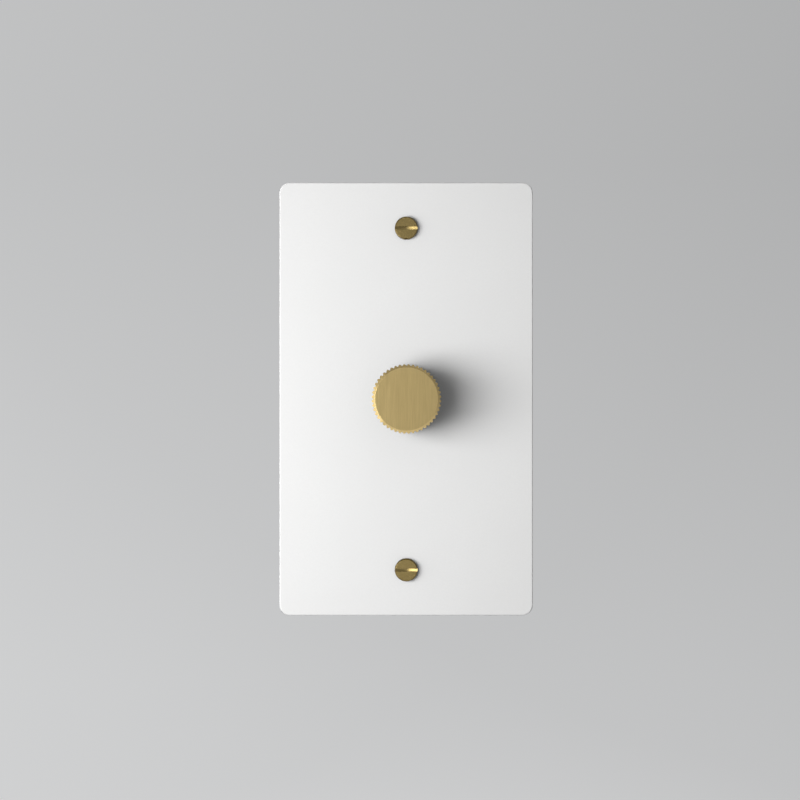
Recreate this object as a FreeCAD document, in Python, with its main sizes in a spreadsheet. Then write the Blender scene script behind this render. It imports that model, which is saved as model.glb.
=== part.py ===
import FreeCAD, Part
import math
import os
import Sketcher

# Rotary dimmer switch for a single wall box, in millimetres.
# X points right seen from the room, Z up and Y into the wall.
# The origin is the centre of the face plate's rear face, on the wall's surface.

DOC = FreeCAD.newDocument("rotary_dimmer_switch")
SHEET = DOC.addObject("Spreadsheet::Sheet", "dims")

SIZES = {
    # Clearances
    "running_fit": 0.05,
    "thread_fit": 0.05,
    "screw_room": 0.25,
    "lead_room": 0.12,
    "guide_room": 0.15,
    # Face plate
    "plate_width": 72,
    "plate_height": 123,
    "plate_thickness": 2.5,
    "plate_corner": 3,
    "plate_edge": 0.4,
    "relief_room": 0.1,
    "relief_margin": 2,
    "relief_corner": 4,
    "bush_window_room": 0.6,
    # Plate screws
    "plate_screw_spacing": 96.84,
    "plate_screw_radius": 1.72,
    "plate_screw_length": 8,
    "plate_head_radius": 3.25,
    "plate_head_height": 1.6,
    "plate_head_bevel": 0.3,
    "plate_slot_width": 0.8,
    "plate_slot_depth": 0.95,
    "slot_saw_radius": 8,
    "screw_tip_bevel": 0.4,
    # Knob
    "knob_radius": 9.5,
    "knob_length": 17.5,
    "knob_end_room": 0.3,
    "knob_front_bevel": 0.9,
    "knob_rear_bevel": 0.6,
    "knob_cap": 3,
    "knob_recess_radius": 6.5,
    "knob_recess_depth": 2,
    "tooth_count": 48,
    "tooth_depth": 0.5,
    "tooth_land": 0.3,
    # Set screw
    "set_screw_radius": 1.5,
    "set_screw_length": 5,
    "set_screw_rise": 6,
    "set_socket_flats": 1.5,
    "set_socket_depth": 2,
    # Shaft and its clip
    "shaft_radius": 3,
    "shaft_flat": 1.8,
    "shaft_flat_room": 1.7,
    "shaft_end_room": 0.2,
    "tail_flat": 2.2,
    "tail_overhang": 0.8,
    "groove_depth": 0.7,
    "clip_radius": 4.6,
    "clip_thickness": 0.6,
    "clip_gap": 3,
    # Bush, washer and nut
    "bush_radius": 4.75,
    "bush_setback": 0.3,
    "bush_flange_radius": 10.2,
    "bush_flange_thickness": 1.2,
    "washer_radius": 7,
    "washer_thickness": 0.5,
    "nut_flats": 12.7,
    "nut_thickness": 1.6,
    # Potentiometer
    "wafer_thickness": 1.2,
    "tongue_width": 12,
    "tongue_margin": 1.6,
    "pin_pitch": 4,
    "pin_width": 1.2,
    "pin_thickness": 0.5,
    "pin_drop": 13.4,
    "wiper_radius": 7,
    "wiper_thickness": 0.3,
    "wiper_tip_radius": 0.5,
    "wiper_track_radius": 6.1,
    "rotor_radius": 7.4,
    "rotor_thickness": 3,
    "rotor_room": 0.4,
    "lug_room": 0.4,
    "lug_width": 3.6,
    "stop_slack": 1.5,
    "turn_range": 300,
    "can_wall": 0.6,
    # Push switch
    "push_travel": 1.2,
    "switch_size": 15,
    "switch_wall": 1.2,
    "plunger_thickness": 2.5,
    "plunger_boss_radius": 1.5,
    "plunger_boss_length": 1.5,
    "bridge_width": 7.2,
    "bridge_length": 10.8,
    "bridge_thickness": 0.5,
    "contact_offset": 4.3,
    "contact_radius": 0.8,
    "contact_height": 0.6,
    "contact_width": 2.4,
    "contact_thickness": 0.8,
    "spring_length": 6.5,
    "spring_radius": 2.1,
    "spring_wire": 0.4,
    "spring_turns": 4,
    # Mounting strap and its screws
    "strap_setback": 0.9,
    "strap_thickness": 1.2,
    "strap_overhang": 4,
    "strap_corner": 2,
    "ear_width": 24,
    "ear_margin": 4.5,
    "ear_corner": 5,
    "box_screw_inset": 6.75,
    "box_slot_length": 7,
    "box_screw_radius": 1.75,
    "box_screw_length": 25.4,
    "box_neck_radius": 1.4,
    "box_neck_room": 0.2,
    "box_head_radius": 3.4,
    "box_head_height": 1.8,
    "box_slot_depth": 0.8,
    "box_slot_width": 0.9,
    "retainer_room": 0.53,
    "retainer_thickness": 0.8,
    "tab_width": 9,
    "tab_depth": 11,
    "tab_inset": 0.5,
    "ground_screw_radius": 2.3,
    "ground_screw_length": 2.6,
    "ground_head_radius": 3.8,
    "ground_head_height": 2.2,
    # Housing
    "body_width": 44,
    "body_end_room": 4.17,
    "body_corner": 2.5,
    "body_wall": 2,
    "body_edge": 1,
    "corner_block": 8,
    "corner_inset": 4,
    "bay_height": 13,
    "bay_shift": 0.5,
    "bay_front": 4.9,
    "bay_end_room": 1.55,
    "bay_depth": 6.5,
    "bay_wall": 2.5,
    "bay_corner": 1,
    "post_radius": 1.6,
    "post_inset": 2.5,
    "case_screw_radius": 1.45,
    "case_head_radius": 2.6,
    "case_head_height": 1.9,
    "case_head_sink": 2.4,
    "case_screw_room": 0.2,
    # Terminals
    "terminal_thickness": 1,
    "terminal_width": 9,
    "terminal_inset": 1,
    "lug_length": 2,
    "lug_thickness": 0.8,
    "solder_lug_width": 4,
    "terminal_screw_radius": 1.9,
    "terminal_screw_reach": 1.6,
    "terminal_head_radius": 3.8,
    "terminal_head_height": 2.2,
    # Circuit board and what stands on it
    "liner_thickness": 0.4,
    "liner_room": 0.3,
    "board_thickness": 1.6,
    "board_room": 0.4,
    "solder_room": 3.5,
    "lead_radius": 0.4,
    "lead_tail": 1.2,
    "choke_case_room": 3.1,
    "choke_end_room": 0.6,
    "choke_wall": 4,
    "choke_height": 7.2,
    "choke_edge": 0.8,
    "winding_thickness": 1.1,
    "winding_lead_angle": 30,
    "film_width": 9,
    "film_height": 11,
    "film_pin_room": 3.1,
    "film_end_room": 1.1,
    "film_edge_room": 1.6,
    "film_lead_inset": 1.5,
    "can_cap_radius": 3.15,
    "can_cap_height": 11,
    "can_cap_pitch": 2.5,
    "can_cap_edge_room": 2.45,
    "can_cap_end_room": 2.95,
    "chip_width": 6,
    "chip_length": 5,
    "chip_thickness": 1.6,
    "chip_leg": 1,
    "triac_width": 10,
    "triac_tab_thickness": 1.3,
    "triac_thickness": 4.5,
    "triac_tab_room": 0.1,
    "triac_tongue_room": 1.6,
    "triac_end_room": 0.4,
    "triac_edge_room": 0.6,
    "triac_lead_pitch": 2.54,
    "triac_lead_width": 0.8,
    "triac_lead_reach": 0.9,
    "rivet_radius": 1.5,
    "rivet_head_radius": 2.6,
    "rivet_head_height": 0.9,
}

for row, (alias, value) in enumerate(SIZES.items(), start=1):
    SHEET.set(f"A{row}", alias)
    SHEET.set(f"B{row}", str(value))
    SHEET.setAlias(f"B{row}", alias)
DOC.recompute()

# Stations along Y, from the room into the wall
PLATE_FRONT = "(-dims.plate_thickness)"
KNOB_BACK = f"({PLATE_FRONT} - dims.push_travel - dims.knob_end_room)"
KNOB_FRONT = f"({KNOB_BACK} - dims.knob_length)"
SHAFT_FRONT = f"({KNOB_FRONT} + dims.knob_cap + dims.shaft_end_room)"
STRAP_FRONT = "dims.strap_setback"
STRAP_BACK = f"({STRAP_FRONT} + dims.strap_thickness)"
WASHER_FRONT = f"({STRAP_FRONT} - dims.washer_thickness)"
NUT_FRONT = f"({WASHER_FRONT} - dims.nut_thickness)"
LINER_BACK = f"({STRAP_BACK} + dims.liner_thickness)"
FLANGE_BACK = f"({LINER_BACK} + dims.bush_flange_thickness)"
WAFER_BACK = f"({FLANGE_BACK} + dims.wafer_thickness)"
CLIP_BACK = f"({FLANGE_BACK} + dims.clip_thickness)"
ROTOR_FRONT = f"({CLIP_BACK} + dims.push_travel + dims.rotor_room)"
ROTOR_BACK = f"({ROTOR_FRONT} + dims.rotor_thickness)"
CAN_FLOOR = f"({ROTOR_BACK} + dims.rotor_room)"
CAN_BACK = f"({CAN_FLOOR} + dims.can_wall)"
SHAFT_BACK = f"({CAN_BACK} + dims.tail_overhang)"
SWITCH_CEILING = f"({CAN_BACK} + dims.switch_wall)"
PLUNGER_FRONT = f"({SWITCH_CEILING} + dims.guide_room)"
PLUNGER_BACK = f"({PLUNGER_FRONT} + dims.plunger_thickness)"
BRIDGE_BACK = f"({PLUNGER_BACK} + dims.bridge_thickness)"
FIXED_FACE = f"({BRIDGE_BACK} + dims.contact_height + dims.push_travel + dims.running_fit)"
BASE_FRONT = f"({PLUNGER_BACK} + dims.spring_length)"
BOARD_FRONT = f"({BASE_FRONT} + dims.switch_wall)"
BOARD_BACK = f"({BOARD_FRONT} + dims.board_thickness)"
LEAD_END = f"({BOARD_BACK} + dims.lead_tail)"
BODY_FLOOR = f"({BOARD_BACK} + dims.solder_room)"
BODY_BACK = f"({BODY_FLOOR} + dims.body_wall)"

# Places across the wall, shared by the pieces that meet there
HALF_BODY = "dims.body_width / 2"
PLATE_SCREW_Z = "dims.plate_screw_spacing / 2"
BOX_SCREW_Z = f"({PLATE_SCREW_Z} - dims.box_screw_inset)"
RETAINER_HALF = "(dims.box_screw_inset - dims.plate_screw_radius - dims.retainer_room)"
HALF_TALL = f"({BOX_SCREW_Z} - {RETAINER_HALF} - dims.body_end_room)"
SHOULDER_Z = f"({HALF_TALL} + dims.strap_overhang)"
CASE_SCREW_X = f"({HALF_BODY} - dims.corner_inset)"
CASE_SCREW_Z = f"({HALF_TALL} - dims.corner_inset)"
BAY_FACE = f"({HALF_BODY} - dims.bay_depth)"
CAVITY_NARROW = f"({BAY_FACE} - dims.bay_wall)"
CAVITY_WIDE = f"({HALF_BODY} - dims.body_wall)"
CAVITY_TALL = f"({HALF_TALL} - dims.body_wall)"
BOARD_X = f"({CAVITY_NARROW} - dims.board_room)"
BOARD_Z = f"({CAVITY_TALL} - dims.board_room)"
POST_X = f"({BOARD_X} - dims.post_inset)"
POST_Z = f"({BOARD_Z} - dims.post_inset)"
BAY_START = f"({STRAP_BACK} + dims.bay_front)"
BAY_END = f"({BOARD_FRONT} + dims.bay_end_room)"
BAY_Z = f"(({HALF_TALL} - dims.corner_block) / 2 - dims.bay_shift)"
TERMINAL_FRONT = f"({BAY_START} + dims.terminal_inset)"
TERMINAL_FACE = f"({BAY_FACE} + dims.terminal_thickness)"
TERMINAL_SCREW_Y = f"(({TERMINAL_FRONT} + {BOARD_FRONT} - dims.lug_thickness) / 2)"
LUG_END = f"({BOARD_X} - dims.lug_length)"
GROUND_X = f"({HALF_BODY} - dims.tab_inset - dims.tab_width / 2)"
GROUND_Y = f"({STRAP_FRONT} + dims.tab_depth / 2 + dims.strap_thickness / 2)"
TONGUE_REACH = "(dims.pin_drop + dims.tongue_margin)"
TRIAC_X = f"({BOARD_X} - dims.triac_edge_room - dims.triac_width / 2)"
TRIAC_TOP = f"({TONGUE_REACH} + dims.triac_tongue_room)"
TRIAC_FOOT = f"({CAVITY_TALL} - dims.triac_end_room)"
TRIAC_LEAD_Z = f"(-{TRIAC_TOP} + dims.triac_lead_reach)"
TRIAC_TAB = "(2 * dims.rivet_head_radius + 2 * dims.triac_tab_room)"
RIVET_Z = f"(-{TRIAC_FOOT} + {TRIAC_TAB} / 2)"
FILM_X = f"({BOARD_X} - dims.film_edge_room - dims.film_width / 2)"
FILM_TOP = "(dims.pin_drop + dims.film_pin_room)"
FILM_LOW = f"({BOARD_Z} - dims.film_end_room)"
CAN_CAP_X = f"({BOARD_X} - dims.can_cap_edge_room - dims.can_cap_radius)"
CAN_CAP_Z = f"({BOARD_Z} - dims.can_cap_end_room - dims.can_cap_radius)"
CHOKE_TOP = f"({BOARD_Z} - dims.choke_end_room)"
CHOKE_LOW = "(dims.switch_size / 2 + dims.choke_case_room)"
CHOKE_Z = f"(({CHOKE_TOP} + {CHOKE_LOW}) / 2)"
CHOKE_RADIUS = f"(({CHOKE_TOP} - {CHOKE_LOW}) / 2 - dims.winding_thickness)"
CHOKE_BORE = f"({CHOKE_RADIUS} - dims.choke_wall)"
SET_SCREW_Y = f"({KNOB_BACK} - dims.set_screw_rise)"
FLAT_END = f"({SET_SCREW_Y} + dims.set_screw_radius + dims.shaft_flat_room)"
CAN_RADIUS = "dims.bush_flange_radius"
CAN_BORE = f"({CAN_RADIUS} - dims.can_wall)"
LUG_REACH = f"({CAN_BORE} - dims.lug_room)"
STOP_RADIUS = "(dims.rotor_radius + dims.rotor_room)"
SHAFT_BORE = "(dims.shaft_radius + dims.running_fit)"
TAIL_FLAT = "(dims.tail_flat + dims.running_fit)"
WAFER_BORE = "(dims.clip_radius + dims.rotor_room)"

ALONG_Y = FreeCAD.Rotation(FreeCAD.Vector(1, 0, 0), -90)
ALONG_X = FreeCAD.Rotation(FreeCAD.Vector(0, 1, 0), 90)
NODES = []


def value_of(expression):
    """The number that an expression has now, to draw a sketch near its solution."""
    return float(SHEET.evalExpression(expression))


def node(item, label):
    """Keep a finished sub-part under its own label."""
    item.Label = label
    NODES.append(item)
    return item


# Sketches: every point is tied to the origin by expressions

def draw_on(body, plane, station="0"):
    """A new sketch on an origin plane of the body, moved along the world axis it faces."""
    sketch = body.newObject("Sketcher::SketchObject", body.Name + "_sketch")
    support = next(item for item in body.Origin.OriginFeatures if item.Role == plane)
    sketch.AttachmentSupport = [(support, "")]
    sketch.MapMode = "FlatFace"
    # The XZ plane faces -Y, the other two face along their axis
    sign = "-" if plane == "XZ_Plane" else ""
    sketch.setExpression("AttachmentOffset.Base.z", f"{sign}({station})")
    return sketch


def tie(sketch, kind, parts, expression):
    """Add a dimension and bind it."""
    index = sketch.addConstraint(Sketcher.Constraint(kind, *parts, value_of(expression)))
    sketch.setExpression(f"Constraints[{index}]", expression)


def tie_point(sketch, geometry, end, x, y):
    """Hold one point of a shape at expressions, or on an axis where one is zero."""
    for kind, expression, axis in (("DistanceX", x, -2), ("DistanceY", y, -1)):
        if expression == "0":
            sketch.addConstraint(Sketcher.Constraint("PointOnObject", geometry, end, axis))
        else:
            tie(sketch, kind, (-1, 1, geometry, end), expression)


def polygon(sketch, corners):
    """A closed outline through corners given as pairs of expressions."""
    points = [FreeCAD.Vector(value_of(x), value_of(y), 0) for x, y in corners]
    ends = points[1:] + points[:1]
    lines = [sketch.addGeometry(Part.LineSegment(a, b)) for a, b in zip(points, ends)]
    for line, following in zip(lines, lines[1:] + lines[:1]):
        sketch.addConstraint(Sketcher.Constraint("Coincident", line, 2, following, 1))
    for line, (x, y) in zip(lines, corners):
        tie_point(sketch, line, 1, x, y)


def circle(sketch, radius, x="0", y="0"):
    centre = FreeCAD.Vector(value_of(x), value_of(y), 0)
    shape = Part.Circle(centre, FreeCAD.Vector(0, 0, 1), value_of(radius))
    index = sketch.addGeometry(shape)
    tie_point(sketch, index, 3, x, y)
    tie(sketch, "Radius", (index,), radius)


def rounded(sketch, width, height, radius, x="0", y="0"):
    """A rectangle with round corners, or a slot where the radius is half its height."""
    across = f"(({width}) / 2 - ({radius}))"
    up = f"(({height}) / 2 - ({radius}))"
    is_slot = value_of(up) < 1e-9
    turns = ((1, 1), (-1, 1), (-1, -1), (1, -1))
    if is_slot:
        turns = ((1, 0), (-1, 0))
    sweep = 360 / len(turns)
    first_angle = -90 if is_slot else 0
    arcs = []
    for count, (side, level) in enumerate(turns):
        place_x = f"{x} + {side} * {across}"
        place_y = f"{y} + {level} * {up}" if level else y
        centre = FreeCAD.Vector(value_of(place_x), value_of(place_y), 0)
        shape = Part.Circle(centre, FreeCAD.Vector(0, 0, 1), value_of(radius))
        start = math.radians(first_angle + sweep * count)
        arc = sketch.addGeometry(Part.ArcOfCircle(shape, start, start + math.radians(sweep)))
        tie_point(sketch, arc, 3, place_x, place_y)
        tie(sketch, "Radius", (arc,), radius)
        arcs.append(arc)
    for arc, following in zip(arcs, arcs[1:] + arcs[:1]):
        begin = sketch.getPoint(arc, 2)
        finish = sketch.getPoint(following, 1)
        line = sketch.addGeometry(Part.LineSegment(begin, finish))
        sketch.addConstraint(Sketcher.Constraint("Tangent", arc, 2, line, 1))
        sketch.addConstraint(Sketcher.Constraint("Tangent", line, 2, following, 1))


# Features of a body

def new_body(name):
    return DOC.addObject("PartDesign::Body", name)


def pad(body, sketch, length, inward=False):
    """Add material from a sketch. Inward turns it from -Y to +Y on the XZ plane."""
    feature = body.newObject("PartDesign::Pad", body.Name + "_pad")
    feature.Profile = sketch
    feature.Reversed = inward
    feature.setExpression("Length", length)
    DOC.recompute()
    return feature


def pocket(body, sketch, length, outward=False, both_ways=False):
    """Cut away a sketch and make sure that it met material."""
    before = body.Tip.Shape.Volume
    feature = body.newObject("PartDesign::Pocket", body.Name + "_pocket")
    feature.Profile = sketch
    feature.Reversed = outward
    if both_ways:
        feature.SideType = "Symmetric"
    feature.setExpression("Length", length)
    DOC.recompute()
    if feature.Shape.Volume >= before:
        raise ValueError(f"{feature.Name} cuts nothing")
    return feature


def revolve(body, corners, plane="XY_Plane", station="0"):
    """Turn an outline of radius and height pairs about the sketch's upright axis."""
    sketch = draw_on(body, plane, station)
    polygon(sketch, corners)
    feature = body.newObject("PartDesign::Revolution", body.Name + "_turned")
    feature.Profile = sketch
    feature.ReferenceAxis = (sketch, ["V_Axis"])
    feature.Angle = 360
    DOC.recompute()
    return feature


def soften(body, kind, size, size_name, test):
    """Fillet or chamfer the edges of the body so far that pass a test."""
    base = body.Tip
    names = [f"Edge{i}" for i, edge in enumerate(base.Shape.Edges, start=1) if test(edge)]
    feature = body.newObject(kind, body.Name + "_edge")
    feature.Base = (base, names)
    feature.setExpression(size_name, size)
    DOC.recompute()
    return feature


def at_station(edge, station):
    """Whether an edge lies flat at one station along Y."""
    box = edge.BoundBox
    place = value_of(station)
    return abs(box.YMin - place) < 1e-4 and abs(box.YMax - place) < 1e-4


def runs_along_y(edge):
    box = edge.BoundBox
    return box.XLength < 1e-4 and box.ZLength < 1e-4


# Primitives and booleans

def block(name, x, y, z):
    """A box between the low and high expression of each axis."""
    item = DOC.addObject("Part::Box", name)
    sides = (("Length", "x", x), ("Width", "y", y), ("Height", "z", z))
    for side, axis, (low, high) in sides:
        item.setExpression(side, f"{high} - ({low})")
        item.setExpression(f"Placement.Base.{axis}", low)
    return item


def rod(name, radius, y, x="0", z="0"):
    """A cylinder along Y between two stations."""
    item = DOC.addObject("Part::Cylinder", name)
    item.Placement.Rotation = ALONG_Y
    item.setExpression("Radius", radius)
    item.setExpression("Height", f"{y[1]} - ({y[0]})")
    for axis, place in (("x", x), ("y", y[0]), ("z", z)):
        item.setExpression(f"Placement.Base.{axis}", place)
    return item


def join(name, *items):
    item = DOC.addObject("Part::MultiFuse", name)
    item.Shapes = list(items)
    return item


def cut(name, base, *tools):
    item = DOC.addObject("Part::Cut", name)
    item.Base = base
    item.Tool = tools[0] if len(tools) == 1 else join(name + "_tools", *tools)
    return item


def group(name, *items):
    """Separate solids kept together."""
    item = DOC.addObject("Part::Compound", name)
    item.Links = list(items)
    return item


def with_mirror(name, source, normal):
    """A piece and its mirror image across a plane through the origin."""
    image = DOC.addObject("Part::Mirroring", name + "_image")
    image.Source = source
    image.Normal = normal
    return group(name, source, image)


MIRROR_X = FreeCAD.Vector(1, 0, 0)
MIRROR_Z = FreeCAD.Vector(0, 0, 1)


def both(expression):
    """The low and high side of something centred on zero."""
    return (f"-({expression})", expression)


def around(centre, half):
    return (f"{centre} - ({half})", f"{centre} + {half}")


# Face plate

def make_face_plate():
    body = new_body("face_plate")
    outline = draw_on(body, "XZ_Plane")
    rounded(outline, "dims.plate_width", "dims.plate_height", "dims.plate_corner")
    pad(body, outline, "dims.plate_thickness")
    relief = draw_on(body, "XZ_Plane")
    relief_width = "(dims.body_width + 2 * dims.relief_margin)"
    relief_height = "(dims.plate_screw_spacing + 2 * (dims.ear_margin + dims.relief_margin))"
    rounded(relief, relief_width, relief_height, "dims.relief_corner")
    pocket(body, relief, f"dims.relief_room - {NUT_FRONT}", outward=True)
    holes = draw_on(body, "XZ_Plane", PLATE_FRONT)
    circle(holes, "(dims.bush_radius + dims.bush_window_room)")
    for sign in ("", "-"):
        circle(holes, "(dims.plate_screw_radius + dims.screw_room)", "0", sign + PLATE_SCREW_Z)
    pocket(body, holes, "dims.plate_thickness")
    reach = value_of("dims.plate_width / 4")

    def on_front_rim(edge):
        box = edge.BoundBox
        far = max(abs(box.XMin), abs(box.XMax)) > reach
        return at_station(edge, PLATE_FRONT) and far

    soften(body, "PartDesign::Fillet", "dims.plate_edge", "Radius", on_front_rim)
    return node(body, "face_plate")


def slotted_screw(name, place_z, outline, slot_width, slot_depth, top):
    """A turned screw along Y with a slot that a round saw has sunk in its head."""
    body = new_body(name)
    revolve(body, outline, "XY_Plane", place_z)
    saw = draw_on(body, "XY_Plane", place_z)
    circle(saw, "dims.slot_saw_radius", "0", f"{top} + {slot_depth} - dims.slot_saw_radius")
    pocket(body, saw, slot_width, both_ways=True)
    return body


def make_plate_screws():
    top = f"({PLATE_FRONT} - dims.plate_head_height)"
    tip = f"({PLATE_FRONT} + dims.plate_screw_length)"
    outline = (
        ("0", top),
        ("dims.plate_head_radius - dims.plate_head_bevel", top),
        ("dims.plate_head_radius", f"{top} + dims.plate_head_bevel"),
        ("dims.plate_head_radius", PLATE_FRONT),
        ("dims.plate_screw_radius", PLATE_FRONT),
        ("dims.plate_screw_radius", f"{tip} - dims.screw_tip_bevel"),
        ("dims.plate_screw_radius - dims.screw_tip_bevel", tip),
        ("0", tip),
    )
    screw = slotted_screw("plate_screw", PLATE_SCREW_Z, outline,
                          "dims.plate_slot_width", "dims.plate_slot_depth", top)
    return node(with_mirror("plate_screw_pair", screw, MIRROR_Z), "plate_screws")


# Knob, set screw, shaft and clip

def make_knob():
    body = new_body("knob")
    recess = f"({KNOB_BACK} - dims.knob_recess_depth)"
    bore_end = f"({KNOB_FRONT} + dims.knob_cap)"
    revolve(body, (
        ("0", KNOB_FRONT),
        ("dims.knob_radius - dims.knob_front_bevel", KNOB_FRONT),
        ("dims.knob_radius", f"{KNOB_FRONT} + dims.knob_front_bevel"),
        ("dims.knob_radius", f"{KNOB_BACK} - dims.knob_rear_bevel"),
        ("dims.knob_radius - dims.knob_rear_bevel", KNOB_BACK),
        ("dims.knob_recess_radius", KNOB_BACK),
        ("dims.knob_recess_radius", recess),
        (SHAFT_BORE, recess),
        (SHAFT_BORE, bore_end),
        ("0", bore_end),
    ))
    hole = draw_on(body, "XY_Plane")
    circle(hole, "(dims.set_screw_radius + dims.thread_fit)", "0", SET_SCREW_Y)
    pocket(body, hole, "dims.knob_radius")
    # One V-shaped groove between two teeth, then the whole ring of them
    groove = draw_on(body, "XZ_Plane", KNOB_FRONT)
    half_groove = "(pi * dims.knob_radius / dims.tooth_count - dims.tooth_land / 2)"
    polygon(groove, (
        ("0", "dims.knob_radius - dims.tooth_depth"),
        (f"2 * {half_groove}", "dims.knob_radius + dims.tooth_depth"),
        (f"-2 * {half_groove}", "dims.knob_radius + dims.tooth_depth"),
    ))
    tooth_gap = pocket(body, groove, "dims.knob_length")
    ring = body.newObject("PartDesign::PolarPattern", "knob_teeth")
    ring.Originals = [tooth_gap]
    ring.Axis = (groove, ["N_Axis"])
    ring.Angle = 360
    ring.setExpression("Occurrences", "round(dims.tooth_count)")
    body.Tip = ring
    return node(body, "knob")


def make_knob_set_screw():
    low = "(-dims.shaft_flat - dims.set_screw_length)"
    body = new_body("knob_set_screw")
    point = "dims.set_screw_radius / 3"
    revolve(body, (
        ("0", low),
        ("dims.set_screw_radius", low),
        ("dims.set_screw_radius", f"-dims.shaft_flat - {point}"),
        (f"dims.set_screw_radius - {point}", "-dims.shaft_flat"),
        ("0", "-dims.shaft_flat"),
    ), "XZ_Plane", SET_SCREW_Y)
    socket = draw_on(body, "XY_Plane", low)
    half = "dims.set_socket_flats / 2"
    corner = f"({half} / cos(30 deg))"
    polygon(socket, [
        (f"{corner} * cos({60 * turn} deg)", f"{SET_SCREW_Y} + {corner} * sin({60 * turn} deg)")
        for turn in range(6)
    ])
    pocket(body, socket, "dims.set_socket_depth", outward=True)
    return node(body, "knob_set_screw")


def make_shaft():
    body = new_body("shaft")
    neck = "(dims.shaft_radius - dims.groove_depth)"
    revolve(body, (
        ("0", SHAFT_FRONT),
        ("dims.shaft_radius", SHAFT_FRONT),
        ("dims.shaft_radius", FLANGE_BACK),
        (neck, FLANGE_BACK),
        (neck, CLIP_BACK),
        ("dims.shaft_radius", CLIP_BACK),
        ("dims.shaft_radius", SHAFT_BACK),
        ("0", SHAFT_BACK),
    ))
    flats = (
        (SHAFT_FRONT, "dims.shaft_flat", f"{FLAT_END} - {SHAFT_FRONT}"),
        (CLIP_BACK, "dims.tail_flat", f"{SHAFT_BACK} - {CLIP_BACK}"),
    )
    for start, flat, length in flats:
        side = draw_on(body, "XZ_Plane", start)
        polygon(side, (
            ("dims.shaft_radius", f"-{flat}"),
            ("-dims.shaft_radius", f"-{flat}"),
            ("-dims.shaft_radius", "-dims.shaft_radius"),
            ("dims.shaft_radius", "-dims.shaft_radius"),
        ))
        pocket(body, side, length)
    return node(body, "shaft")


def make_shaft_clip():
    stations = (FLANGE_BACK, CLIP_BACK)
    neck = "dims.shaft_radius - dims.groove_depth + dims.running_fit"
    ring = rod("clip_ring", "dims.clip_radius", stations)
    hole = rod("clip_hole", neck, stations)
    mouth = block("clip_mouth", both("dims.clip_gap / 2"), stations, ("0", "dims.clip_radius"))
    return node(cut("clip_cut", ring, hole, mouth), "shaft_clip")


# Bush, washer and nut

def make_pot_bush():
    body = new_body("pot_bush")
    front = f"({PLATE_FRONT} + dims.bush_setback)"
    revolve(body, (
        (SHAFT_BORE, front),
        ("dims.bush_radius", front),
        ("dims.bush_radius", LINER_BACK),
        ("dims.bush_flange_radius", LINER_BACK),
        ("dims.bush_flange_radius", FLANGE_BACK),
        (SHAFT_BORE, FLANGE_BACK),
    ))
    return node(body, "pot_bush")


def make_bush_washer():
    stations = (WASHER_FRONT, STRAP_FRONT)
    ring = rod("washer_ring", "dims.washer_radius", stations)
    hole = rod("washer_hole", "dims.bush_radius + dims.thread_fit", stations)
    return node(cut("washer_cut", ring, hole), "bush_washer")


def make_bush_nut():
    prism = DOC.addObject("Part::Prism", "nut_prism")
    prism.Polygon = 6
    prism.Placement.Rotation = ALONG_Y
    prism.setExpression("Circumradius", "dims.nut_flats / (2 * cos(30 deg))")
    prism.setExpression("Height", "dims.nut_thickness")
    prism.setExpression("Placement.Base.y", NUT_FRONT)
    hole = rod("nut_hole", "dims.bush_radius + dims.thread_fit", (NUT_FRONT, WASHER_FRONT))
    return node(cut("nut_cut", prism, hole), "bush_nut")


# Potentiometer

def pin_places():
    return [f"{step} * dims.pin_pitch" if step else "0" for step in (-1, 0, 1)]


def make_track_wafer():
    stations = (FLANGE_BACK, WAFER_BACK)
    disc = rod("wafer_disc", CAN_RADIUS, stations)
    tongue = block("wafer_tongue", both("dims.tongue_width / 2"), stations, (f"-{TONGUE_REACH}", "0"))
    holes = [rod("wafer_bore", WAFER_BORE, stations)]
    for place in pin_places():
        holes.append(block("wafer_pin_hole",
                           around(place, "(dims.pin_width / 2 + dims.running_fit)"), stations,
                           around("-dims.pin_drop", "(dims.pin_thickness / 2 + dims.running_fit)")))
    return node(cut("wafer_cut", join("wafer_blank", disc, tongue), *holes), "track_wafer")


def make_pot_pins():
    pins = [
        block("pot_pin", around(place, "dims.pin_width / 2"), (FLANGE_BACK, LEAD_END),
              around("-dims.pin_drop", "dims.pin_thickness / 2"))
        for place in pin_places()
    ]
    return node(group("pot_pin_row", *pins), "pot_pins")


def make_wiper():
    stations = (f"{ROTOR_FRONT} - dims.wiper_thickness", ROTOR_FRONT)
    ring = rod("wiper_ring", "dims.wiper_radius", stations)
    tip_reach = (f"{WAFER_BACK} + dims.running_fit", ROTOR_FRONT)
    tips = [
        rod("wiper_tip", "dims.wiper_tip_radius", tip_reach, place)
        for place in both("dims.wiper_track_radius")
    ]
    hole = rod("wiper_hole", WAFER_BORE, stations)
    return node(cut("wiper_cut", join("wiper_blank", ring, *tips), hole), "wiper")


def make_rotor():
    stations = (ROTOR_FRONT, ROTOR_BACK)
    disc = rod("rotor_disc", "dims.rotor_radius", stations)
    lug = block("rotor_lug", both("dims.lug_width / 2"), stations,
                ("dims.rotor_radius / 2", LUG_REACH))
    bore = rod("rotor_round", SHAFT_BORE, stations)
    flat = block("rotor_flat", both("dims.rotor_radius"), stations,
                 ("-dims.rotor_radius", f"-{TAIL_FLAT}"))
    return node(cut("rotor_cut", join("rotor_blank", disc, lug), cut("rotor_bore", bore, flat)), "rotor")


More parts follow.
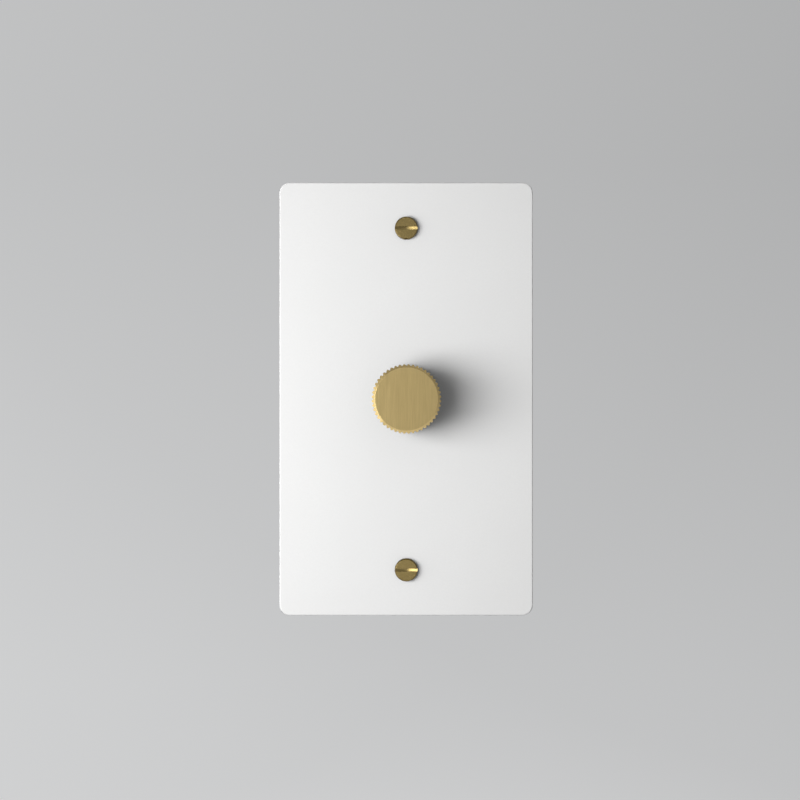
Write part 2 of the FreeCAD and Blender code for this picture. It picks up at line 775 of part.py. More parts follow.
def make_pot_can():
    """The can's inner stop meets the rotor's lug just past the end of its travel."""
    stations = (WAFER_BACK, CAN_BACK)
    shell = rod("can_shell", CAN_RADIUS, stations)
    hollow = rod("can_hollow", CAN_BORE, (WAFER_BACK, CAN_FLOOR))
    hole = rod("can_hole", "dims.shaft_radius + dims.rotor_room", (CAN_FLOOR, CAN_BACK))
    half_stop = (
        f"{STOP_RADIUS} * sin(180 deg - dims.turn_range * 1 deg / 2 - dims.stop_slack * 1 deg"
        f" - asin(dims.lug_width / 2 / {STOP_RADIUS}))"
    )
    stop = block("can_stop", both(half_stop), (ROTOR_FRONT, CAN_BACK),
                 (f"-{CAN_BORE} - dims.can_wall / 2", f"-{STOP_RADIUS}"))
    return node(join("can_joined", cut("can_cut", shell, hollow, hole), stop), "pot_can")


# Push switch

def make_switch_case():
    half = "dims.switch_size / 2"
    inner = f"({half} - dims.switch_wall)"
    shell = block("case_shell", both(half), (CAN_BACK, BASE_FRONT), both(half))
    hollow = block("case_hollow", both(inner), (SWITCH_CEILING, BASE_FRONT), both(inner))
    hole = rod("case_hole", "dims.shaft_radius + dims.rotor_room", (CAN_BACK, SWITCH_CEILING))
    return node(cut("case_cut", shell, hollow, hole), "switch_case")


def contact_post(name, front, back, room="0"):
    half_width = f"(dims.contact_width / 2 + {room})"
    half_depth = f"(dims.contact_thickness / 2 + {room})"
    return block(name, both(half_width), (front, back), around("dims.contact_offset", half_depth))


def make_switch_base():
    half = "dims.switch_size / 2"
    stations = (BASE_FRONT, BOARD_FRONT)
    plate = block("base_plate", both(half), stations, both(half))
    slot = contact_post("base_slot", BASE_FRONT, BOARD_FRONT, "dims.running_fit")
    return node(cut("base_cut", plate, with_mirror("base_slots", slot, MIRROR_Z)), "switch_base")


def make_fixed_contacts():
    post = contact_post("fixed_contact", FIXED_FACE, LEAD_END)
    return node(with_mirror("fixed_contact_pair", post, MIRROR_Z), "fixed_contacts")


def make_switch_plunger():
    half = "(dims.switch_size / 2 - dims.switch_wall - dims.guide_room)"
    flange = block("plunger_flange", both(half), (PLUNGER_FRONT, PLUNGER_BACK), both(half))
    nose = rod("plunger_nose", "dims.shaft_radius", (SHAFT_BACK, PLUNGER_BACK))
    boss = rod("plunger_boss", "dims.plunger_boss_radius",
               (PLUNGER_FRONT, f"{PLUNGER_BACK} + dims.plunger_boss_length"))
    return node(join("plunger_joined", flange, nose, boss), "switch_plunger")


def make_bridge_contact():
    strip = block("bridge_strip", both("dims.bridge_width / 2"), (PLUNGER_BACK, BRIDGE_BACK),
                  both("dims.bridge_length / 2"))
    button = rod("bridge_button", "dims.contact_radius",
                 (PLUNGER_BACK, f"{BRIDGE_BACK} + dims.contact_height"), "0", "dims.contact_offset")
    buttons = with_mirror("bridge_buttons", button, MIRROR_Z)
    hole = rod("bridge_hole", "dims.spring_radius + dims.spring_wire / 2 + dims.guide_room",
               (PLUNGER_BACK, BRIDGE_BACK))
    return node(cut("bridge_cut", join("bridge_blank", strip, buttons), hole), "bridge_contact")


def make_switch_spring():
    """An open coil of square wire between the plunger and the base, a hair short of both."""
    rise = "(dims.spring_length - dims.spring_wire - 2 * dims.running_fit)"
    start = f"{PLUNGER_BACK} + dims.spring_wire / 2 + dims.running_fit"
    helix = DOC.addObject("Part::Helix", "spring_helix")
    helix.Placement.Rotation = ALONG_Y
    helix.setExpression("Radius", "dims.spring_radius")
    helix.setExpression("Pitch", f"{rise} / dims.spring_turns")
    helix.setExpression("Height", rise)
    helix.setExpression("Placement.Base.y", start)
    wire = DOC.addObject("Part::RegularPolygon", "spring_wire")
    wire.Polygon = 4
    wire.setExpression("Circumradius", "dims.spring_wire / 2")
    wire.setExpression("Placement.Base.x", "dims.spring_radius")
    wire.setExpression("Placement.Base.y", start)
    coil = DOC.addObject("Part::Sweep", "spring_coil")
    coil.Sections = [wire]
    coil.Spine = (helix, [])
    coil.Solid = True
    coil.Frenet = True
    return node(coil, "switch_spring")


# Mounting strap and its screws

def make_mounting_strap():
    body = new_body("mounting_strap")
    outline = draw_on(body, "XZ_Plane", STRAP_FRONT)
    wide, narrow = HALF_BODY, "dims.ear_width / 2"
    shoulder, end = SHOULDER_Z, f"({PLATE_SCREW_Z} + dims.ear_margin)"
    quarter = [(wide, shoulder), (narrow, shoulder), (narrow, end)]
    corners = quarter
    corners = corners + [(f"-{x}", z) for x, z in reversed(quarter)]
    corners = corners + [(f"-{x}", f"-{z}") for x, z in quarter]
    corners = corners + [(x, f"-{z}") for x, z in reversed(quarter)]
    polygon(outline, corners)
    pad(body, outline, "dims.strap_thickness", inward=True)
    end_z, ear_x, half_x = value_of(end), value_of(narrow), value_of(wide)

    def is_corner(edge, x, z):
        place = edge.CenterOfMass
        return runs_along_y(edge) and abs(abs(place.x) - x) < 1e-4 and abs(abs(place.z) - z) < 1e-4

    soften(body, "PartDesign::Fillet", "dims.ear_corner", "Radius",
           lambda edge: is_corner(edge, ear_x, end_z))
    # Ground tab, folded back from the lower left shoulder
    tab = draw_on(body, "XZ_Plane", STRAP_FRONT)
    low = f"-{SHOULDER_Z}"
    left, right = around(f"-{GROUND_X}", "dims.tab_width / 2")
    polygon(tab, (
        (left, low),
        (right, low),
        (right, f"{low} + dims.strap_thickness"),
        (left, f"{low} + dims.strap_thickness"),
    ))
    pad(body, tab, "dims.tab_depth", inward=True)
    tapped = draw_on(body, "XY_Plane", f"{low} + dims.strap_thickness")
    circle(tapped, "(dims.ground_screw_radius + dims.thread_fit)", f"-{GROUND_X}", GROUND_Y)
    pocket(body, tapped, "dims.strap_thickness")
    holes = draw_on(body, "XZ_Plane", STRAP_FRONT)
    circle(holes, "(dims.bush_radius + dims.thread_fit)")
    circle(holes, "(dims.rivet_radius + dims.thread_fit)", TRIAC_X, RIVET_Z)
    for up in ("", "-"):
        circle(holes, "(dims.plate_screw_radius + dims.thread_fit)", "0", up + PLATE_SCREW_Z)
        slot_radius = "(dims.box_screw_radius + dims.screw_room)"
        rounded(holes, "dims.box_slot_length", f"2 * {slot_radius}", slot_radius, "0", up + BOX_SCREW_Z)
        for side in ("", "-"):
            circle(holes, "(dims.case_screw_radius + dims.thread_fit)",
                   side + CASE_SCREW_X, up + CASE_SCREW_Z)
    pocket(body, holes, "dims.strap_thickness")
    soften(body, "PartDesign::Fillet", "dims.strap_corner", "Radius",
           lambda edge: is_corner(edge, half_x, value_of(shoulder)))
    return node(body, "mounting_strap")


def make_box_screws():
    """A waisted neck lets the retainer hold the screw in the strap."""
    top = f"({STRAP_FRONT} - dims.box_head_height)"
    neck_end = f"({STRAP_BACK} + dims.retainer_thickness + dims.box_neck_room)"
    tip = f"({STRAP_FRONT} + dims.box_screw_length)"
    bevel = "dims.box_head_height / 2"
    outline = (
        ("0", top),
        (f"dims.box_head_radius - {bevel}", top),
        ("dims.box_head_radius", f"{top} + {bevel}"),
        ("dims.box_head_radius", STRAP_FRONT),
        ("dims.box_neck_radius", STRAP_FRONT),
        ("dims.box_neck_radius", neck_end),
        ("dims.box_screw_radius", neck_end),
        ("dims.box_screw_radius", f"{tip} - dims.screw_tip_bevel"),
        ("dims.box_screw_radius - dims.screw_tip_bevel", tip),
        ("0", tip),
    )
    screw = slotted_screw("box_screw", BOX_SCREW_Z, outline,
                          "dims.box_slot_width", "dims.box_slot_depth", top)
    return node(with_mirror("box_screw_pair", screw, MIRROR_Z), "box_screws")


def make_screw_retainers():
    stations = (STRAP_BACK, f"{STRAP_BACK} + dims.retainer_thickness")
    sheet = block("retainer_sheet", both(RETAINER_HALF), stations, around(BOX_SCREW_Z, RETAINER_HALF))
    hole = rod("retainer_hole", "dims.box_neck_radius + dims.thread_fit", stations, "0", BOX_SCREW_Z)
    retainer = cut("retainer_cut", sheet, hole)
    return node(with_mirror("retainer_pair", retainer, MIRROR_Z), "screw_retainers")


def make_ground_screw():
    body = new_body("ground_screw")
    seat = f"-{SHOULDER_Z}"
    low = f"({seat} - dims.ground_head_height)"
    tip = f"({seat} + dims.ground_screw_length)"
    bevel = "dims.ground_head_height / 4"
    # Turned about a line along Z: drawn on a plane across Y and set on the tab's hole
    profile = draw_on(body, "XZ_Plane", GROUND_Y)
    polygon(profile, (
        ("0", low),
        (f"dims.ground_head_radius - {bevel}", low),
        ("dims.ground_head_radius", f"{low} + {bevel}"),
        ("dims.ground_head_radius", seat),
        ("dims.ground_screw_radius", seat),
        ("dims.ground_screw_radius", f"{tip} - dims.screw_tip_bevel"),
        ("dims.ground_screw_radius - dims.screw_tip_bevel", tip),
        ("0", tip),
    ))
    profile.setExpression("AttachmentOffset.Base.x", f"-{GROUND_X}")
    turned = body.newObject("PartDesign::Revolution", "ground_screw_turned")
    turned.Profile = profile
    turned.ReferenceAxis = (profile, ["V_Axis"])
    turned.Angle = 360
    DOC.recompute()
    slot = draw_on(body, "XY_Plane", low)
    left, right = around(f"-{GROUND_X}", "dims.ground_head_radius")
    near, far = around(GROUND_Y, "dims.plate_slot_width / 2")
    polygon(slot, ((left, near), (right, near), (right, far), (left, far)))
    pocket(body, slot, "dims.plate_slot_depth", outward=True)
    return node(body, "ground_screw")


# Housing, its screws and the liner

def cavity_outline():
    """The inside of the housing: it steps in round the corner screws and the terminal bays."""
    block_x = f"({HALF_BODY} - dims.corner_block)"
    block_z = f"({HALF_TALL} - dims.corner_block)"
    bay_top = f"({BAY_Z} + dims.bay_height / 2 + dims.body_wall)"
    bay_low = f"({BAY_Z} - dims.bay_height / 2 - dims.body_wall)"
    quarter = [
        (block_x, CAVITY_TALL),
        (block_x, block_z),
        (CAVITY_WIDE, block_z),
        (CAVITY_WIDE, bay_top),
        (CAVITY_NARROW, bay_top),
        (CAVITY_NARROW, bay_low),
        (CAVITY_WIDE, bay_low),
    ]
    right = quarter + [(x, f"-{z}") for x, z in reversed(quarter)]
    return right + [(f"-{x}", z) for x, z in reversed(right)]


def make_housing():
    body = new_body("housing")
    outline = draw_on(body, "XZ_Plane", STRAP_BACK)
    rounded(outline, "dims.body_width", f"2 * {HALF_TALL}", "dims.body_corner")
    pad(body, outline, f"{BODY_BACK} - {STRAP_BACK}", inward=True)
    soften(body, "PartDesign::Chamfer", "dims.body_edge", "Size", lambda edge: at_station(edge, BODY_BACK))
    cavity = draw_on(body, "XZ_Plane", STRAP_BACK)
    polygon(cavity, cavity_outline())
    pocket(body, cavity, f"{BODY_FLOOR} - {STRAP_BACK}")
    bay_middle = f"(({BAY_START} + {BAY_END}) / 2)"
    bay_length = f"{BAY_END} - {BAY_START}"
    lug_middle = f"({BOARD_FRONT} - dims.lug_thickness / 2)"
    for side in ("", "-"):
        outer = draw_on(body, "YZ_Plane", side + f"({HALF_BODY})")
        floor = draw_on(body, "YZ_Plane", side + BAY_FACE)
        slots = draw_on(body, "YZ_Plane", side + BAY_FACE)
        for up in ("", "-"):
            place = up + BAY_Z
            rounded(outer, bay_length, "dims.bay_height", "dims.bay_corner", bay_middle, place)
            circle(floor, "(dims.terminal_screw_radius + dims.screw_room)", TERMINAL_SCREW_Y, place)
            near, far = around(lug_middle, "(dims.lug_thickness / 2 + dims.running_fit)")
            low, high = around(place, "(dims.solder_lug_width / 2 + dims.running_fit)")
            polygon(slots, ((near, low), (far, low), (far, high), (near, high)))
        to_left = side == "-"
        pocket(body, outer, "dims.bay_depth", outward=to_left)
        pocket(body, floor, "(dims.terminal_screw_reach + dims.screw_room)", outward=to_left)
        pocket(body, slots, "dims.bay_wall", outward=to_left)
    through = draw_on(body, "XZ_Plane", BODY_BACK)
    sinks = draw_on(body, "XZ_Plane", BODY_BACK)
    posts = draw_on(body, "XZ_Plane", BODY_FLOOR)
    for up in ("", "-"):
        for side in ("", "-"):
            screw_place = (side + CASE_SCREW_X, up + CASE_SCREW_Z)
            circle(through, "(dims.case_screw_radius + dims.screw_room)", *screw_place)
            circle(sinks, "(dims.case_head_radius + dims.screw_room)", *screw_place)
            circle(posts, "dims.post_radius", side + POST_X, up + POST_Z)
    pocket(body, through, f"{BODY_BACK} - {STRAP_BACK}", outward=True)
    pocket(body, sinks, "dims.case_head_sink", outward=True)
    pad(body, posts, "dims.solder_room")
    return node(body, "housing")


def make_housing_screws():
    seat = f"({BODY_BACK} - dims.case_head_sink)"
    head_end = f"({seat} + dims.case_head_height)"
    tip = f"({STRAP_FRONT} + dims.case_screw_room)"
    bevel = "dims.case_head_height / 3"
    body = new_body("housing_screw")
    profile = draw_on(body, "XY_Plane", CASE_SCREW_Z)
    polygon(profile, (
        ("0", tip),
        ("dims.case_screw_radius", tip),
        ("dims.case_screw_radius", seat),
        ("dims.case_head_radius", seat),
        ("dims.case_head_radius", f"{head_end} - {bevel}"),
        (f"dims.case_head_radius - {bevel}", head_end),
        ("0", head_end),
    ))
    profile.setExpression("AttachmentOffset.Base.x", CASE_SCREW_X)
    turned = body.newObject("PartDesign::Revolution", "housing_screw_turned")
    turned.Profile = profile
    turned.ReferenceAxis = (profile, ["V_Axis"])
    turned.Angle = 360
    DOC.recompute()
    slot = draw_on(body, "XZ_Plane", head_end)
    left, right = around(CASE_SCREW_X, "dims.case_head_radius")
    low, high = around(CASE_SCREW_Z, "dims.box_slot_width / 2")
    polygon(slot, ((left, low), (right, low), (right, high), (left, high)))
    pocket(body, slot, "dims.box_slot_depth", outward=True)
    pair = with_mirror("housing_screw_pair", body, MIRROR_X)
    return node(with_mirror("housing_screw_set", pair, MIRROR_Z), "housing_screws")


def make_liner():
    stations = (STRAP_BACK, LINER_BACK)
    half_x = f"({CAVITY_NARROW} - dims.liner_room)"
    half_z = f"({CAVITY_TALL} - dims.liner_room)"
    sheet = block("liner_sheet", both(half_x), stations, both(half_z))
    hole = rod("liner_hole", "dims.bush_radius + dims.thread_fit", stations)
    half_window = "(dims.triac_width / 2 + dims.liner_room)"
    window = block("liner_window", around(TRIAC_X, half_window), stations,
                   (f"-{half_z}", f"-{TRIAC_TOP} + dims.liner_room"))
    return node(cut("liner_cut", sheet, hole, window), "liner")


# Terminals

TERMINALS = (
    ("line_terminal", 1, 1),
    ("load_terminal", 1, -1),
    ("traveller_terminal", -1, 1),
    ("neutral_terminal", -1, -1),
)


def span(side, low, high):
    """An expression pair on the right, or mirrored to the left."""
    return (low, high) if side > 0 else (f"-({high})", f"-({low})")


def rod_along_x(name, radius, side, low, high, y, z):
    item = DOC.addObject("Part::Cylinder", name)
    item.Placement.Rotation = ALONG_X
    start, end = span(side, low, high)
    item.setExpression("Radius", radius)
    item.setExpression("Height", f"{end} - ({start})")
    for axis, place in (("x", start), ("y", y), ("z", z)):
        item.setExpression(f"Placement.Base.{axis}", place)
    return item


def make_terminals():
    for label, side, level in TERMINALS:
        middle = f"{level} * {BAY_Z}"
        plate = block("terminal_plate", span(side, BAY_FACE, TERMINAL_FACE),
                      (TERMINAL_FRONT, BOARD_FRONT), around(middle, "dims.terminal_width / 2"))
        lug = block("terminal_lug", span(side, LUG_END, TERMINAL_FACE),
                    (f"{BOARD_FRONT} - dims.lug_thickness", BOARD_FRONT),
                    around(middle, "dims.solder_lug_width / 2"))
        hole = rod_along_x("terminal_hole", "dims.terminal_screw_radius + dims.thread_fit", side,
                           BAY_FACE, TERMINAL_FACE, TERMINAL_SCREW_Y, middle)
        node(cut("terminal_cut", join("terminal_blank", plate, lug), hole), label)


def make_terminal_screws():
    """Binding heads with a slot across them."""
    top = f"({TERMINAL_FACE} + dims.terminal_head_height)"
    shank = rod_along_x("terminal_shank", "dims.terminal_screw_radius", 1,
                        f"{BAY_FACE} - dims.terminal_screw_reach", top, TERMINAL_SCREW_Y, BAY_Z)
    head = rod_along_x("terminal_head", "dims.terminal_head_radius", 1, TERMINAL_FACE, top,
                       TERMINAL_SCREW_Y, BAY_Z)
    slot = block("terminal_slot", (f"{top} - dims.plate_slot_depth", top),
                 around(TERMINAL_SCREW_Y, "dims.terminal_head_radius"),
                 around(BAY_Z, "dims.plate_slot_width / 2"))
    screw = cut("terminal_screw", join("terminal_screw_blank", shank, head), slot)
    pair = with_mirror("terminal_screw_pair", screw, MIRROR_X)
    return node(with_mirror("terminal_screw_set", pair, MIRROR_Z), "terminal_screws")


# Circuit board and what stands on it

def film_leads():
    ends = (f"-{FILM_LOW} + dims.film_lead_inset", f"-{FILM_TOP} - dims.film_lead_inset")
    return [(f"-{FILM_X}", place) for place in ends]


def can_cap_leads():
    half = "dims.can_cap_pitch / 2"
    return [(place, f"-{CAN_CAP_Z}") for place in around(CAN_CAP_X, half)]


def choke_leads():
    reach = f"({CHOKE_RADIUS} + {CHOKE_BORE}) / 2"
    across = f"({reach} * sin(dims.winding_lead_angle * 1 deg / 2))"
    up = f"{CHOKE_Z} + {reach} * cos(dims.winding_lead_angle * 1 deg / 2)"
    return [(place, up) for place in both(across)]


def triac_leads():
    steps = [f"{TRIAC_X} + {step} * dims.triac_lead_pitch" for step in (-1, 0, 1)]
    return [(place, TRIAC_LEAD_Z) for place in steps]


def make_circuit_board():
    stations = (BOARD_FRONT, BOARD_BACK)
    sheet = block("board_sheet", both(BOARD_X), stations, both(BOARD_Z))
    holes = []
    for x, z in film_leads() + can_cap_leads() + choke_leads():
        holes.append(rod("board_hole", "dims.lead_radius + dims.lead_room", stations, x, z))
    triac_hole = "dims.triac_lead_width / sqrt(2) + dims.lead_room"
    for x, z in triac_leads():
        holes.append(rod("board_triac_hole", triac_hole, stations, x, z))
    for place in pin_places():
        holes.append(block("board_pin_hole",
                           around(place, "(dims.pin_width / 2 + dims.lead_room)"), stations,
                           around("-dims.pin_drop", "(dims.pin_thickness / 2 + dims.lead_room)")))
    slot = contact_post("board_slot", BOARD_FRONT, BOARD_BACK, "dims.lead_room")
    holes.append(with_mirror("board_slots", slot, MIRROR_Z))
    return node(cut("board_cut", sheet, *holes), "circuit_board")


def leads(name, places, start):
    return [rod(name, "dims.lead_radius", (start, LEAD_END), x, z) for x, z in places]


def make_choke():
    middle = f"({BOARD_FRONT} - dims.choke_height / 2 - dims.winding_thickness)"
    half = "dims.choke_height / 2"
    core = new_body("choke_core")
    section = draw_on(core, "XY_Plane", CHOKE_Z)
    bore = CHOKE_BORE
    rim = CHOKE_RADIUS
    edge = "dims.choke_edge"
    low, high = around(middle, half)
    polygon(section, (
        (f"{bore} + {edge}", low),
        (f"{rim} - {edge}", low),
        (rim, f"{low} + {edge}"),
        (rim, f"{high} - {edge}"),
        (f"{rim} - {edge}", high),
        (f"{bore} + {edge}", high),
        (bore, f"{high} - {edge}"),
        (bore, f"{low} + {edge}"),
    ))
    turned = core.newObject("PartDesign::Revolution", "choke_core_turned")
    turned.Profile = section
    turned.ReferenceAxis = (section, ["V_Axis"])
    turned.Angle = 360
    node(core, "choke_core")
    # The wound turns hug the core all round, with one lead at each end
    thick = "dims.winding_thickness"
    stations = (f"{low} - {thick}", f"{high} + {thick}")
    outer = rod("winding_outer", f"{rim} + {thick}", stations, "0", CHOKE_Z)
    inner = rod("winding_inner", f"{bore} - {thick}", stations, "0", CHOKE_Z)
    sleeve = cut("winding_sleeve", outer, inner)
    tails = leads("winding_lead", choke_leads(), high)
    winding = cut("winding_cut", join("winding_blank", sleeve, *tails), core)
    node(winding, "choke_winding")


def make_filter_capacitor():
    case = block("film_case", around(f"-{FILM_X}", "dims.film_width / 2"),
                 (f"{BOARD_FRONT} - dims.film_height", BOARD_FRONT),
                 (f"-{FILM_LOW}", f"-{FILM_TOP}"))
    tails = leads("film_lead", film_leads(), f"{BOARD_FRONT} - dims.film_height / 2")
    return node(join("film_joined", case, *tails), "filter_capacitor")


def make_supply_capacitor():
    stations = (f"{BOARD_FRONT} - dims.can_cap_height", BOARD_FRONT)
    sleeve = rod("can_cap_sleeve", "dims.can_cap_radius", stations, CAN_CAP_X, f"-{CAN_CAP_Z}")
    tails = leads("can_cap_lead", can_cap_leads(), f"{BOARD_FRONT} - dims.can_cap_height / 2")
    return node(join("can_cap_joined", sleeve, *tails), "supply_capacitor")


def make_controller_chip():
    stations = (BOARD_BACK, f"{BOARD_BACK} + dims.chip_thickness")
    package = block("chip_package", both("dims.chip_width / 2"), stations, both("dims.chip_length / 2"))
    feet = block("chip_feet", both("dims.chip_width / 2 + dims.chip_leg"),
                 (BOARD_BACK, f"{BOARD_BACK} + dims.chip_thickness / 4"), both("dims.chip_length / 2"))
    return node(join("chip_joined", package, feet), "controller_chip")


def make_triac():
    """The tab lies on the strap, which takes its heat, and the leads turn back to the board."""
    across = around(TRIAC_X, "dims.triac_width / 2")
    tab_back = f"({STRAP_BACK} + dims.triac_tab_thickness)"
    tab = block("triac_tab", across, (STRAP_BACK, tab_back), (f"-{TRIAC_FOOT}", f"-{TRIAC_TOP}"))
    case = block("triac_case", across, (STRAP_BACK, f"{STRAP_BACK} + dims.triac_thickness"),
                 (f"-{TRIAC_FOOT} + {TRIAC_TAB}", f"-{TRIAC_TOP}"))
    half = "dims.triac_lead_width / 2"
    lead_front = f"({STRAP_BACK} + dims.triac_thickness / 2)"
    legs = []
    for x, z in triac_leads():
        legs.append(block("triac_stub", around(x, half),
                          (lead_front, f"{lead_front} + dims.triac_lead_width"),
                          (f"-{TRIAC_TOP} - dims.triac_lead_width", f"{z} + {half}")))
        legs.append(block("triac_leg", around(x, half), (lead_front, LEAD_END), around(z, half)))
    hole = rod("triac_hole", "dims.rivet_radius + dims.thread_fit", (STRAP_BACK, tab_back),
               TRIAC_X, RIVET_Z)
    return node(cut("triac_cut", join("triac_blank", tab, case, *legs), hole), "triac")


def make_triac_rivet():
    tab_back = f"({STRAP_BACK} + dims.triac_tab_thickness)"
    place = (TRIAC_X, RIVET_Z)
    shank = rod("rivet_shank", "dims.rivet_radius",
                (f"{STRAP_FRONT} - dims.rivet_head_height", f"{tab_back} + dims.rivet_head_height"), *place)
    front = rod("rivet_front", "dims.rivet_head_radius",
                (f"{STRAP_FRONT} - dims.rivet_head_height", STRAP_FRONT), *place)
    back = rod("rivet_back", "dims.rivet_head_radius",
               (tab_back, f"{tab_back} + dims.rivet_head_height"), *place)
    return node(join("rivet_joined", shank, front, back), "triac_rivet")


for make in (
    make_face_plate, make_plate_screws,
    make_knob, make_knob_set_screw, make_shaft, make_shaft_clip,
    make_pot_bush, make_bush_washer, make_bush_nut,
    make_track_wafer, make_pot_pins, make_wiper, make_rotor, make_pot_can,
    make_switch_case, make_switch_base, make_fixed_contacts, make_switch_plunger,
    make_bridge_contact, make_switch_spring,
    make_mounting_strap, make_box_screws, make_screw_retainers, make_ground_screw,
    make_housing, make_housing_screws, make_liner, make_terminals, make_terminal_screws,
    make_circuit_board, make_choke, make_filter_capacitor, make_supply_capacitor,
    make_controller_chip, make_triac, make_triac_rivet,
):
    make()
DOC.recompute()

for item in DOC.Objects:
    if "Invalid" in item.State or "Error" in item.State:
        raise RuntimeError(f"{item.Name} failed: {item.State}")
for item in NODES:
    if item.Shape.isNull() or not item.Shape.isValid():
        raise RuntimeError(f"{item.Label} has no valid shape")

os.makedirs("parts", exist_ok=True)
for item in NODES:
    item.Shape.exportStep(f"parts/{item.Label}.step")
    print(item.Label, len(item.Shape.Solids), round(item.Shape.Volume, 2))
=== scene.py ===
import math

import bmesh
import bpy
from mathutils import Matrix, Vector


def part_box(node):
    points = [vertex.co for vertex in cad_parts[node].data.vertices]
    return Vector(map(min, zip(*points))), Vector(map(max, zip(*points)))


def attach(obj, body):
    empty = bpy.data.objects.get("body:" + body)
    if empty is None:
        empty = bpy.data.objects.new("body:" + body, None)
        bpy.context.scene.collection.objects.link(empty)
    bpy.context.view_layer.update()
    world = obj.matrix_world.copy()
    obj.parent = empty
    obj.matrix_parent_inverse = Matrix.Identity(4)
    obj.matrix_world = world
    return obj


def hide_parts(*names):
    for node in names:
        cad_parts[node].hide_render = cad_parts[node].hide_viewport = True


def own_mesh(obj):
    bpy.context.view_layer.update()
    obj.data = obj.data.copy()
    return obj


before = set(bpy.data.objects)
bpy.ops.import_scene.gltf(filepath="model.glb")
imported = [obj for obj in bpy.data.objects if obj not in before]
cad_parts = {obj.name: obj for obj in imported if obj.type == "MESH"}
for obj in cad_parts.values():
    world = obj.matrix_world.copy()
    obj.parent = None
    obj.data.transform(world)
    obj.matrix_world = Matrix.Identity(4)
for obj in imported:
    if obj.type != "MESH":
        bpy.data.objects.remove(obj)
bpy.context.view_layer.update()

# A rotary dimmer switch, dressed on its CAD frame. Metres: X right, Y to the back, Z up.

PLATE_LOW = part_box("face_plate")[0]
KNOB_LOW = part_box("knob")[0]

# Threads, cut into the shanks: each node's body, and its screws' axis, radius and pitch
THREADS = {
    "box_screws": ("base", "Y", 0.00175, 0.000794),
    "plate_screws": ("base", "Y", 0.00172, 0.000794),
    "housing_screws": ("base", "Y", 0.00145, 0.00060),
    "ground_screw": ("base", "Z", 0.00230, 0.00080),
    "terminal_screws": ("base", "X", 0.00190, 0.00070),
    "knob_set_screw": ("knob", "Z", 0.00150, 0.00050),
    "pot_bush": ("base", "Y", 0.00475, 0.000794),
}
THREAD_DEPTH = 0.5  # in pitches
THREAD_FADE = 0.6  # in pitches, at each end
# Places along a pitch, and the share of the depth at each
THREAD_PROFILE = ((0.0, 0.0), (0.12, 0.0), (0.50, 1.0), (0.62, 1.0))
SHANK_TOLERANCE = 0.00003
SIDE_LEAN = 0.1  # the most that a shank's side may face along the axis
RING_START = 0.001  # the angle, just past X, from which a ring is counted
TO_Y = {"X": Matrix.Rotation(math.pi / 2, 4, "Z"), "Y": Matrix.Identity(4),
        "Z": Matrix.Rotation(-math.pi / 2, 4, "X")}
ORIGIN = "origin"  # the layer that says which CAD face a face comes from
CAD_WELD = 1e-7
FLOOR_WELD = 1e-6
SHARP_ANGLE = math.radians(35)

# Wire of the switch's spring and of the choke
SPRING_WIRE = 0.0004
SPRING_TURNS = 5
SPRING_CLOSED = 0.6  # turns at each end that don't rise
SPRING_STEPS = 40
WINDING_TURNS = 20
WINDING_SWEEP = math.radians(330)
WINDING_CORNER = 0.9  # in thicknesses of the wire
WINDING_CORNER_STEPS = 6
WINDING_ROOM = 0.00005
LEAD_RADIUS = 0.0004
WIRE_SIDES = 12
WIRE_START = Vector((0.31, 0.17, 0.93))  # a direction in which no wire sets out

# Finishes
EDGE_RADIUS = 0.00006
EDGE_SAMPLES = 6
RIM_TURN = (0.995, 0.85)  # cosines where an edge's mask begins and where it is full
KNOB_FRONT = (0.0001, 0.0003)  # depths between which the knob's brushed front ends
FLANK_FACING = (0.5, 0.95)  # how far a flank and a flat face of a screw look along Y
ZINC_EDGE = 0.00008
# Painted shade with grime in sheltered places, found by ambient occlusion: its reach, samples and
# limits
SHADE_AND_GRIME_REACH = 0.0006
SHADE_AND_GRIME_SAMPLES = 4
SHADE_AND_GRIME_SHELTER = (0.4, 0.9)  # how open a place is where the painted shade and grime are full and where they end
GRAINS_IN_CLOUD = 12
BLACK = (0.0, 0.0, 0.0, 1.0)
WHITE = (1.0, 1.0, 1.0, 1.0)

# Camera: straight on, with the plate a little right of the picture's middle and above it
IMAGE_SIDE_PX = 800
PIXEL = 0.000284
PLATE_RIGHT_PX = 6.2
PLATE_UP_PX = 1.0
CAMERA_DISTANCE = 0.45
SENSOR_MM = 36

# Studio
KEY_WATTS = 1.28
KEY_SIZE = (0.31, 0.16)
KEY_PLACE = Vector((-0.195, -0.282, -0.008))
SIDE_WATTS = 0.35
SIDE_SIZE = (0.20, 0.60)
SIDE_PLACE = Vector((-0.45, -0.09, -0.08))
REAR_WATTS = 3.0
REAR_SIZE = (0.5, 0.5)
REAR_PLACES = (Vector((0.45, 0.50, 0.35)), Vector((-0.50, 0.45, 0.20)))
ROOM_LIGHT = 0.19
ROOM_SEEN = 0.45
FLOOR_DROP = 0.35
FLOOR_RADIUS = 0.9
COVE_RADIUS = 0.7
COVE_STEPS = 24
SWEEP_TOP = 1.8
FLOOR_SEGMENTS = 96
PAPER_COLOUR = (0.55, 0.55, 0.55, 1.0)
GLOW_COLOUR = (0.98, 0.99, 1.0, 1.0)
GLOW_LEFT, GLOW_RIGHT = 0.63, 0.25
GLOW_ABOVE = 0.84  # share of the glow that is left above
GLOW_RISE = 0.3

# Sockets of the colour mix, which share their names with those for numbers
MIX_FACTOR, MIX_FIRST, MIX_SECOND, MIX_RESULT = 0, 6, 7, 2


# Shader helpers

def add(tree, kind, inputs, **settings):
    """A shader node. An input that is a socket is linked, and any other is set."""
    made = tree.nodes.new("ShaderNode" + kind)
    for name, value in settings.items():
        setattr(made, name, value)
    for key, value in inputs.items():
        if isinstance(value, bpy.types.NodeSocket):
            tree.links.new(value, made.inputs[key])
        else:
            made.inputs[key].default_value = value
    return made


def emptied(owner):
    """The node tree of a material or a world, with no nodes in it."""
    owner.use_nodes = True
    owner.node_tree.nodes.clear()
    return owner.node_tree


